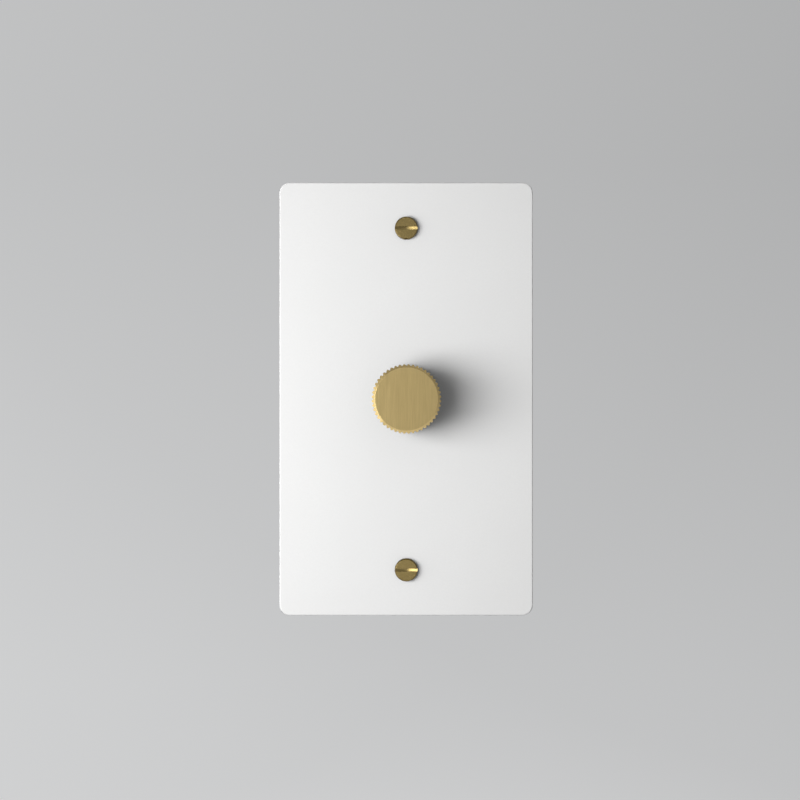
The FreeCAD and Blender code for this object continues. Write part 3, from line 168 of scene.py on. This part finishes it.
def start(slot):
    """The node tree of the slot's own material, emptied."""
    return emptied(bpy.data.materials[slot])


def position(tree):
    """The piece's own coordinates, in metres."""
    return add(tree, "TexCoord", {}).outputs["Object"]


def split(tree, vector):
    """A vector's X, Y and Z."""
    return add(tree, "SeparateXYZ", {"Vector": vector}).outputs


def worked_out(tree, operation, *values):
    """A number worked out from others."""
    return add(tree, "Math", dict(enumerate(values)), operation=operation).outputs["Value"]


def noise(tree, scale, stretch=(1, 1, 1), detail=3.0):
    """Cloudy noise with so many patches to the metre, drawn out where stretch is small."""
    mapped = add(tree, "Mapping", {"Vector": position(tree), "Scale": stretch}).outputs["Vector"]
    made = add(tree, "TexNoise", {"Vector": mapped, "Scale": scale, "Detail": detail})
    return made.outputs["Fac"]


def spread(tree, source, low, high, source_low=0.3, source_high=0.7):
    """A pattern's values, taken from one range to another."""
    made = add(tree, "MapRange", {"Value": source, "From Min": source_low,
                                  "From Max": source_high, "To Min": low, "To Max": high})
    return made.outputs["Result"]


def mix(tree, factor, first, second):
    """From one colour to another, as a pattern says."""
    colours = [(*c, 1.0) if isinstance(c, tuple) else c for c in (first, second)]
    made = add(tree, "Mix", {MIX_FACTOR: factor, MIX_FIRST: colours[0], MIX_SECOND: colours[1]},
               data_type="RGBA")
    return made.outputs[MIX_RESULT]


def facing(tree):
    """The surface's own normals."""
    return add(tree, "NewGeometry", {}).outputs["Normal"]


def rounding(tree, radius):
    """Normals that round the edges off."""
    return add(tree, "Bevel", {"Radius": radius}, samples=EDGE_SAMPLES).outputs["Normal"]


def rim(tree, rounded):
    """A mask of where the edges are, by how far the rounded normals turn."""
    turn = add(tree, "VectorMath", {0: rounded, 1: facing(tree)}, operation="DOT_PRODUCT")
    return spread(tree, turn.outputs["Value"], 0.0, 1.0, *RIM_TURN)


def bump(tree, height, depth, **normal):
    """Normals that follow a pattern's height."""
    return add(tree, "Bump", {"Height": height, "Distance": depth, **normal}).outputs["Normal"]


def surface(tree, **inputs):
    """The piece's surface, with names such as Base_Color for the shader's sockets."""
    named = {name.replace("_", " "): value for name, value in inputs.items()}
    shader = add(tree, "BsdfPrincipled", named)
    add(tree, "OutputMaterial", {"Surface": shader.outputs["BSDF"]})


# Materials, one for each slot of the record

def plate_coat():
    """White satin paint with a fine orange peel and faint clouds."""
    tree = start("plate_coat")
    peel = noise(tree, 2600, detail=2.0)
    clouds = noise(tree, 45, detail=2.0)
    painted = mix(tree, spread(tree, peel, 0.0, 1.0), (0.81, 0.81, 0.805), (0.83, 0.83, 0.825))
    shade = mix(tree, spread(tree, clouds, 0.0, 0.5), painted, (0.80, 0.80, 0.795))
    surface(tree, Base_Color=shade, Roughness=spread(tree, peel, 0.58, 0.70),
            Specular_IOR_Level=0.3, Normal=bump(tree, peel, 4e-6))


def knob_brass():
    """Turned brass: the front face is brushed upright, and the flanks keep a fine grain."""
    tree = start("knob_brass")
    depth = split(tree, position(tree))["Y"]
    front = spread(tree, depth, 1.0, 0.0, *(KNOB_LOW.y + behind for behind in KNOB_FRONT))
    brushed = noise(tree, 5000, stretch=(1, 1, 0.03))
    grain = noise(tree, 5000, stretch=(1, 0.1, 1))
    clouds = noise(tree, 220, detail=2.0)
    lines = mix(tree, front, grain, brushed)
    brass = mix(tree, spread(tree, lines, 0.0, 1.0), (0.61, 0.46, 0.203), (0.69, 0.52, 0.236))
    shade = mix(tree, spread(tree, clouds, 0.0, 0.3), brass, (0.68, 0.515, 0.226))
    along = add(tree, "Tangent", {}, direction_type="RADIAL", axis="X").outputs["Tangent"]
    surface(tree, Base_Color=shade, Metallic=1.0, Roughness=spread(tree, lines, 0.17, 0.23),
            Anisotropic=0.45, Tangent=along,
            Normal=bump(tree, lines, 6e-7, Normal=rounding(tree, EDGE_RADIUS)))


def screw_brass():
    """Turned brass in darker tones than the knob's, as painted shade, with painted shade on its
    flanks and in its slot.
    """
    tree = start("screw_brass")
    grain = noise(tree, 3200)
    clouds = noise(tree, 270, detail=2.0)
    outward = worked_out(tree, "ABSOLUTE", split(tree, facing(tree))["Y"])
    flank = spread(tree, outward, 0.9, 0.0, *FLANK_FACING)
    # Tones darker than the knob's brass: painted shade. Near-black on the flanks and slot walls:
    # painted shade.
    dark, light, flank_shade = (0.26, 0.195, 0.075), (0.34, 0.255, 0.105), (0.085, 0.065, 0.03)
    turned = mix(tree, spread(tree, grain, 0.0, 1.0), dark, light)
    clouded = mix(tree, spread(tree, clouds, 0.0, 0.5), turned, dark)
    surface(tree, Base_Color=mix(tree, flank, clouded, flank_shade), Metallic=1.0,
            Roughness=spread(tree, grain, 0.20, 0.28),
            Normal=bump(tree, grain, 1e-6, Normal=rounding(tree, EDGE_RADIUS)))


def zinc_steel():
    """Zinc over pressed steel, with a faint spangle, rubbed edges, and painted shade with grime in
    its threads.
    """
    tree = start("zinc_steel")
    spangle = add(tree, "TexVoronoi", {"Vector": position(tree), "Scale": 420.0}).outputs["Color"]
    cells = add(tree, "SeparateColor", {"Color": spangle}).outputs["Red"]
    grain = noise(tree, 3000, stretch=(1, 1, 0.08))
    rounded = rounding(tree, ZINC_EDGE)
    worn = spread(tree, rim(tree, rounded), 0.0, 0.7, 0.0, 1.0)
    plated = mix(tree, cells, (0.50, 0.51, 0.52), (0.60, 0.605, 0.61))
    rubbed = mix(tree, worn, plated, (0.78, 0.78, 0.77))
    # Painted shade with grime: darker where ambient occlusion finds the surface sheltered
    openness = add(tree, "AmbientOcclusion", {"Distance": SHADE_AND_GRIME_REACH}, samples=SHADE_AND_GRIME_SAMPLES)
    shade_and_grime = spread(tree, openness.outputs["AO"], 0.9, 0.0, *SHADE_AND_GRIME_SHELTER)
    shaded_and_grimy = mix(tree, shade_and_grime, rubbed, (0.11, 0.105, 0.10))
    surface(tree, Base_Color=shaded_and_grimy, Metallic=1.0, Roughness=spread(tree, grain, 0.30, 0.46),
            Normal=bump(tree, grain, 2e-6, Normal=rounded))


def board_green():
    """Solder mask over straight copper tracks."""
    tree = start("board_green")
    tracks = add(tree, "TexBrick", {"Vector": position(tree), "Scale": 160.0, "Mortar Size": 0.03,
                                    "Color1": BLACK, "Color2": BLACK, "Mortar": WHITE})
    grain = noise(tree, 4000)
    mask = mix(tree, tracks.outputs["Color"], (0.01, 0.12, 0.05), (0.03, 0.24, 0.10))
    surface(tree, Base_Color=mask, Roughness=spread(tree, grain, 0.25, 0.4),
            Normal=bump(tree, grain, 2e-6))


def plain(slot, metallic, dark, light, worn, rough, grain, depth,
          stretch=(1, 1, 1), edge=EDGE_RADIUS):
    """A grained finish between two colours, worn along its edges."""
    tree = start(slot)
    pattern = noise(tree, grain, stretch)
    clouds = noise(tree, grain / GRAINS_IN_CLOUD, detail=2.0)
    rounded = rounding(tree, edge)
    body = mix(tree, spread(tree, pattern, 0.0, 1.0), dark, light)
    clouded = mix(tree, spread(tree, clouds, 0.0, 0.5), body, dark)
    wear = worked_out(tree, "MULTIPLY", rim(tree, rounded), pattern)
    surface(tree, Base_Color=mix(tree, wear, clouded, worn), Metallic=metallic,
            Roughness=spread(tree, pattern, *rough),
            Normal=bump(tree, pattern, depth, Normal=rounded))


plate_coat()
knob_brass()
screw_brass()
zinc_steel()
board_green()

# Turned and pressed metals
plain("bush_brass", 1.0, (0.62, 0.47, 0.20), (0.76, 0.60, 0.28), (0.88, 0.72, 0.40),
      rough=(0.28, 0.40), grain=3000, depth=2e-6)
plain("terminal_brass", 1.0, (0.64, 0.48, 0.20), (0.80, 0.62, 0.28), (0.92, 0.76, 0.42),
      rough=(0.26, 0.40), grain=2600, depth=3e-6, stretch=(1, 0.1, 1))
plain("shaft_steel", 1.0, (0.48, 0.48, 0.49), (0.60, 0.60, 0.61), (0.75, 0.75, 0.75),
      rough=(0.22, 0.34), grain=4000, depth=2e-6, stretch=(1, 4, 1))
plain("spring_steel", 1.0, (0.40, 0.40, 0.42), (0.55, 0.55, 0.56), (0.70, 0.70, 0.70),
      rough=(0.25, 0.35), grain=5000, depth=2e-6)
plain("spring_copper", 1.0, (0.66, 0.34, 0.18), (0.82, 0.46, 0.26), (0.92, 0.60, 0.40),
      rough=(0.24, 0.36), grain=4000, depth=2e-6)
plain("winding_copper", 1.0, (0.44, 0.14, 0.05), (0.62, 0.24, 0.09), (0.74, 0.34, 0.16),
      rough=(0.22, 0.34), grain=1500, depth=2e-6)
plain("rivet_aluminium", 1.0, (0.70, 0.71, 0.72), (0.82, 0.82, 0.83), (0.90, 0.90, 0.90),
      rough=(0.30, 0.45), grain=3000, depth=3e-6)
plain("green_steel", 1.0, (0.05, 0.22, 0.08), (0.09, 0.36, 0.13), (0.48, 0.58, 0.46),
      rough=(0.26, 0.38), grain=3000, depth=2e-6)

# Mouldings, papers and ceramics
plain("housing_black", 0.0, (0.010, 0.010, 0.011), (0.020, 0.020, 0.021), (0.075, 0.075, 0.075),
      rough=(0.42, 0.58), grain=2400, depth=1.2e-5, edge=0.0003)
plain("switch_grey", 0.0, (0.20, 0.20, 0.21), (0.27, 0.27, 0.28), (0.40, 0.40, 0.41),
      rough=(0.45, 0.60), grain=2400, depth=8e-6)
plain("phenolic", 0.0, (0.16, 0.08, 0.03), (0.24, 0.13, 0.05), (0.36, 0.22, 0.10),
      rough=(0.45, 0.62), grain=3000, depth=6e-6, stretch=(1, 1, 0.1))
plain("nylon", 0.0, (0.70, 0.69, 0.64), (0.78, 0.77, 0.72), (0.84, 0.83, 0.79),
      rough=(0.40, 0.52), grain=2000, depth=6e-6)
plain("fibre", 0.0, (0.26, 0.07, 0.04), (0.36, 0.11, 0.06), (0.50, 0.24, 0.16),
      rough=(0.65, 0.85), grain=2600, depth=2e-5, stretch=(1, 1, 0.25))
plain("ferrite", 0.0, (0.035, 0.035, 0.037), (0.06, 0.06, 0.062), (0.14, 0.14, 0.14),
      rough=(0.55, 0.75), grain=3200, depth=2e-5)
plain("capacitor_yellow", 0.0, (0.62, 0.40, 0.03), (0.72, 0.48, 0.05), (0.80, 0.60, 0.14),
      rough=(0.35, 0.5), grain=2000, depth=6e-6)
plain("capacitor_sleeve", 0.0, (0.02, 0.03, 0.07), (0.03, 0.045, 0.10), (0.10, 0.12, 0.18),
      rough=(0.25, 0.4), grain=2000, depth=4e-6)
plain("chip_black", 0.0, (0.012, 0.012, 0.012), (0.024, 0.024, 0.024), (0.06, 0.06, 0.06),
      rough=(0.5, 0.7), grain=4000, depth=6e-6)


# Pieces that stand for a CAD node

def finished(mesh, name, node, body):
    """The mesh as a new piece in place of the node, in the node's material."""
    data = bpy.data.meshes.new(name)
    mesh.to_mesh(data)
    mesh.free()
    for face in data.polygons:
        face.use_smooth = True
    data.set_sharp_from_angle(angle=SHARP_ANGLE)
    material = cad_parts[node].data.materials[0]
    data.materials.append(material)
    piece = bpy.data.objects.new(name, data)
    bpy.context.scene.collection.objects.link(piece)
    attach(piece, body)
    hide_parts(node)
    return piece


def islands(mesh):
    """The mesh's separate solids, as sets of vertices, in the order of their first ones."""
    left = set(mesh.verts)
    for seed in mesh.verts:
        if seed not in left:
            continue
        left.remove(seed)
        queue = [seed]
        group = {seed}
        while queue:
            vertex = queue.pop()
            beside = {edge.other_vert(vertex) for edge in vertex.link_edges} & left
            left -= beside
            group |= beside
            queue.extend(beside)
        yield group


def shank_sides(mesh, solid, axis, radius):
    """The faces of a solid's plain shank, which lies along Y."""
    def on_shank(vertex):
        return abs((vertex.co.xz - axis).length - radius) < SHANK_TOLERANCE

    faces = [face for face in mesh.faces if face.verts[0] in solid]
    return [face for face in faces
            if abs(face.normal.y) < SIDE_LEAN and all(on_shank(vertex) for vertex in face.verts)]


def ring(shank, axis, level):
    """The shank's vertices at one level, in order round its axis."""
    def order(vertex):
        angle = math.atan2(vertex.co.z - axis.y, vertex.co.x - axis.x)
        return (RING_START - angle) % (2 * math.pi)

    return sorted((vertex for vertex in shank if abs(vertex.co.y - level) < SHANK_TOLERANCE),
                  key=order)


def cut_thread(mesh, solid, radius, pitch):
    """Swaps a solid's plain shank along Y for one with a thread that fades out at both ends."""
    across = [vertex.co.xz for vertex in solid]
    axis = Vector([(min(places) + max(places)) / 2 for places in zip(*across)])
    sides = shank_sides(mesh, solid, axis, radius)
    shank = {vertex for face in sides for vertex in face.verts}
    low = min(vertex.co.y for vertex in shank)
    high = max(vertex.co.y for vertex in shank)
    first, last = ring(shank, axis, low), ring(shank, axis, high)
    columns = len(first)
    bmesh.ops.delete(mesh, geom=sides, context="FACES_KEEP_BOUNDARY")

    def vertex_at(turn, part, deep, column):
        y = low + (turn - 1 + part + column / columns) * pitch
        if y <= low + SHANK_TOLERANCE:
            return first[column]
        if y >= high - SHANK_TOLERANCE:
            return last[column]
        fade = min(1.0, min(y - low, high - y) / (THREAD_FADE * pitch))
        share = 1 - THREAD_DEPTH * pitch * deep * fade / radius
        near = axis + (first[column].co.xz - axis) * share
        return mesh.verts.new((near.x, y, near.y))

    # The helix starts a pitch early and ends a pitch late, held to the shank's end rings
    turns = math.ceil((high - low) / pitch) + 2
    grid = [[vertex_at(turn, part, deep, column) for column in range(columns)]
            for turn in range(turns + 1) for part, deep in THREAD_PROFILE]
    per_turn = len(THREAD_PROFILE)
    for row in range(len(grid) - per_turn - 1):
        for column in range(columns):
            ahead = (column + 1) % columns
            beside = row if ahead else row + per_turn
            corners = (grid[row][column], grid[row + 1][column],
                       grid[beside + 1][ahead], grid[beside][ahead])
            separate = list(dict.fromkeys(corners))
            if len(separate) > 2:
                mesh.faces.new(separate)


def keep_normals(data, plain_data):
    """Gives the faces that come from the plain mesh their exact normals again."""
    normals = [corner.vector.copy() for corner in data.corner_normals]
    for face, origin in zip(data.polygons, data.attributes[ORIGIN].data):
        if origin.value == 0:
            continue
        corners = {}
        for loop in plain_data.polygons[origin.value - 1].loop_indices:
            corners[loop] = plain_data.vertices[plain_data.loops[loop].vertex_index].co
        for loop in face.loop_indices:
            place = data.vertices[data.loops[loop].vertex_index].co
            nearest = min(corners, key=lambda corner: (corners[corner] - place).length)
            normals[loop] = plain_data.corner_normals[nearest].vector.copy()
    data.attributes.remove(data.attributes[ORIGIN])
    data.normals_split_custom_set(normals)


def threaded(node, body, axis, radius, pitch):
    """The node's solids with their threads."""
    plain_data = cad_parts[node].data
    mesh = bmesh.new()
    mesh.from_mesh(plain_data)
    origin = mesh.faces.layers.int.new(ORIGIN)
    for face in mesh.faces:
        face[origin] = face.index + 1
    bmesh.ops.remove_doubles(mesh, verts=mesh.verts, dist=CAD_WELD)
    bmesh.ops.transform(mesh, matrix=TO_Y[axis], verts=mesh.verts)
    for solid in list(islands(mesh)):
        cut_thread(mesh, solid, radius, pitch)
    loose = [vertex for vertex in mesh.verts if not vertex.link_faces]
    bmesh.ops.delete(mesh, geom=loose, context="VERTS")
    bmesh.ops.transform(mesh, matrix=TO_Y[axis].inverted(), verts=mesh.verts)
    bmesh.ops.recalc_face_normals(mesh, faces=mesh.faces)
    piece = finished(mesh, f"threaded_{node}", node, body)
    keep_normals(piece.data, plain_data)


def wire(mesh, path, radius):
    """A closed tube of round wire along the path."""
    turns = [2 * math.pi * side / WIRE_SIDES for side in range(WIRE_SIDES)]
    rings = []
    out = WIRE_START
    for count, point in enumerate(path):
        along = path[min(count + 1, len(path) - 1)] - path[max(count - 1, 0)]
        along.normalize()
        out = (out - out.dot(along) * along).normalized()
        up = along.cross(out)
        spokes = [math.cos(turn) * out + math.sin(turn) * up for turn in turns]
        rings.append([mesh.verts.new(point + radius * spoke) for spoke in spokes])
    for near, far in zip(rings, rings[1:]):
        for side in range(WIRE_SIDES):
            after = (side + 1) % WIRE_SIDES
            mesh.faces.new((near[side], near[after], far[after], far[side]))
    mesh.faces.new(rings[0])
    mesh.faces.new(rings[-1])


def switch_spring():
    """Round wire with closed ends, which shortens as the knob is pushed."""
    low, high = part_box("switch_spring")
    radius = high.x - SPRING_WIRE / 2
    first, last = low.y + SPRING_WIRE / 2, high.y - SPRING_WIRE / 2
    rising = SPRING_TURNS - 2 * SPRING_CLOSED
    path = []
    for step in range(SPRING_TURNS * SPRING_STEPS + 1):
        turn = step / SPRING_STEPS
        rise = min(max((turn - SPRING_CLOSED) / rising, 0.0), 1.0)
        angle = 2 * math.pi * turn
        path.append(Vector((radius * math.cos(angle), first + (last - first) * rise,
                            radius * math.sin(angle))))
    mesh = bmesh.new()
    wire(mesh, path, SPRING_WIRE / 2)
    bmesh.ops.recalc_face_normals(mesh, faces=mesh.faces)
    piece = finished(mesh, "coil_spring", "switch_spring", "base")
    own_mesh(piece)


def winding_section(inner, outer, front, back, corner):
    """One turn round the core, as points of reach and depth from the middle of its back."""
    centres = ((outer - corner, back - corner), (outer - corner, front + corner),
               (inner + corner, front + corner), (inner + corner, back - corner))
    section = [Vector(((inner + outer) / 2, back))]
    for count, centre in enumerate(centres):
        for step in range(WINDING_CORNER_STEPS + 1):
            angle = math.pi / 2 * (1 - count - step / WINDING_CORNER_STEPS)
            section.append(Vector(centre) + corner * Vector((math.cos(angle), math.sin(angle))))
    return section


def choke_winding():
    """One layer of turns round the core, with a straight lead at each end."""
    core_low, core_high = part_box("choke_core")
    low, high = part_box("choke_winding")
    half = (core_low.y - low.y) / 2
    axis = (core_low.xz + core_high.xz) / 2
    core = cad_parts["choke_core"].data
    away = [(vertex.co.xz - axis).length for vertex in core.vertices]
    inner, outer = min(away) - half, max(away) + half
    front, back = core_low.y - half, core_high.y + half
    section = winding_section(inner, outer, front, back, WINDING_CORNER * 2 * half)
    lengths = [0.0]
    for here, there in zip(section, section[1:] + section[:1]):
        lengths.append(lengths[-1] + (there - here).length)

    def at(reach, y, angle):
        return Vector((axis.x + reach * math.sin(angle), y, axis.y + reach * math.cos(angle)))

    middle = (inner + outer) / 2
    begin = (2 * math.pi - WINDING_SWEEP) / 2
    path = []
    for turn in range(WINDING_TURNS):
        for point, passed in zip(section, lengths):
            share = (turn + passed / lengths[-1]) / WINDING_TURNS
            path.append(at(point.x, point.y, begin + WINDING_SWEEP * share))
    path.append(at(middle, back, begin + WINDING_SWEEP))
    mesh = bmesh.new()
    wire(mesh, path, half - WINDING_ROOM)
    for angle in (begin, begin + WINDING_SWEEP):
        wire(mesh, [at(middle, back, angle), at(middle, high.y, angle)], LEAD_RADIUS)
    bmesh.ops.recalc_face_normals(mesh, faces=mesh.faces)
    finished(mesh, "wound_wire", "choke_winding", "base")


for node_name, thread in THREADS.items():
    threaded(node_name, *thread)
switch_spring()
choke_winding()


# Studio

def seen(tree):
    """One where the camera, a mirror or a glass looks, and nought where a surface gathers light."""
    path = add(tree, "LightPath", {}).outputs
    looks = path["Is Camera Ray"]
    for other in ("Is Glossy Ray", "Is Transmission Ray"):
        looks = worked_out(tree, "MAXIMUM", looks, path[other])
    return looks


def studio_paper():
    """Pale paper with a glow for the eye alone, which fades to the right and a little upward."""
    material = bpy.data.materials.new("studio_paper")
    tree = emptied(material)
    paper = add(tree, "BsdfDiffuse", {"Color": PAPER_COLOUR})
    place = split(tree, position(tree))
    reach = FLOOR_RADIUS + COVE_RADIUS
    across = spread(tree, place["X"], GLOW_LEFT, GLOW_RIGHT, -reach, reach)
    upward = spread(tree, place["Z"], 1.0, GLOW_ABOVE, -GLOW_RISE, GLOW_RISE)
    both_ways = worked_out(tree, "MULTIPLY", across, upward)
    strength = worked_out(tree, "MULTIPLY", both_ways, seen(tree))
    glow = add(tree, "Emission", {"Color": GLOW_COLOUR, "Strength": strength})
    both = add(tree, "AddShader", {0: paper.outputs["BSDF"], 1: glow.outputs["Emission"]})
    add(tree, "OutputMaterial", {"Surface": both.outputs["Shader"]})
    return material


def seamless_floor():
    """A round pale floor that sweeps up all round, and lets the room's light through."""
    low = PLATE_LOW.z - FLOOR_DROP
    profile = [Vector((0, 0, low)), Vector((FLOOR_RADIUS, 0, low))]
    for step in range(1, COVE_STEPS + 1):
        angle = math.pi / 2 * step / COVE_STEPS
        out = FLOOR_RADIUS + COVE_RADIUS * math.sin(angle)
        up = low + COVE_RADIUS * (1 - math.cos(angle))
        profile.append(Vector((out, 0, up)))
    profile.append(Vector((FLOOR_RADIUS + COVE_RADIUS, 0, SWEEP_TOP)))
    mesh = bmesh.new()
    points = [mesh.verts.new(point) for point in profile]
    lines = [mesh.edges.new(pair) for pair in zip(points, points[1:])]
    bmesh.ops.spin(mesh, geom=points + lines, cent=(0, 0, 0), axis=(0, 0, 1), angle=2 * math.pi,
                   steps=FLOOR_SEGMENTS, use_merge=True)
    bmesh.ops.remove_doubles(mesh, verts=mesh.verts, dist=FLOOR_WELD)
    for face in mesh.faces:
        face.smooth = True
    data = bpy.data.meshes.new("studio_floor")
    mesh.to_mesh(data)
    mesh.free()
    data.materials.append(studio_paper())
    floor = bpy.data.objects.new("studio_floor", data)
    bpy.context.scene.collection.objects.link(floor)
    floor.visible_diffuse = False
    floor.visible_shadow = False


def softbox(name, where, size, watts):
    """A soft light turned to the part's middle and out of the camera's sight."""
    data = bpy.data.lights.new(name, "AREA")
    data.shape = "RECTANGLE"
    data.size, data.size_y = size
    data.energy = watts
    light = bpy.data.objects.new(name, data)
    light.location = where
    light.rotation_mode = "QUATERNION"
    light.rotation_quaternion = (-where).to_track_quat("-Z", "Y")
    light.visible_camera = False
    bpy.context.scene.collection.objects.link(light)


def room_light():
    """Even white light from all round, and its level where it is looked at."""
    world = bpy.data.worlds.new("room")
    bpy.context.scene.world = world
    tree = emptied(world)
    level = spread(tree, seen(tree), ROOM_LIGHT, ROOM_SEEN, 0.0, 1.0)
    soft = add(tree, "Background", {"Color": WHITE, "Strength": level})
    add(tree, "OutputWorld", {"Surface": soft.outputs["Background"]})


def camera():
    """The camera, level and square to the plate."""
    data = bpy.data.cameras.new("camera")
    data.sensor_width = SENSOR_MM
    data.lens = SENSOR_MM * CAMERA_DISTANCE / (IMAGE_SIDE_PX * PIXEL)
    made = bpy.data.objects.new("camera", data)
    made.location = (-PLATE_RIGHT_PX * PIXEL, PLATE_LOW.y - CAMERA_DISTANCE, -PLATE_UP_PX * PIXEL)
    made.rotation_euler = (math.pi / 2, 0, 0)
    bpy.context.scene.collection.objects.link(made)
    bpy.context.scene.camera = made


seamless_floor()
softbox("key", KEY_PLACE, KEY_SIZE, KEY_WATTS)
softbox("side", SIDE_PLACE, SIDE_SIZE, SIDE_WATTS)
for count, where in enumerate(REAR_PLACES, start=1):
    softbox(f"rear_{count}", where, REAR_SIZE, REAR_WATTS)
room_light()
camera()
bpy.context.scene.view_settings.view_transform = "Standard"
bpy.context.scene.cycles.caustics_reflective = False
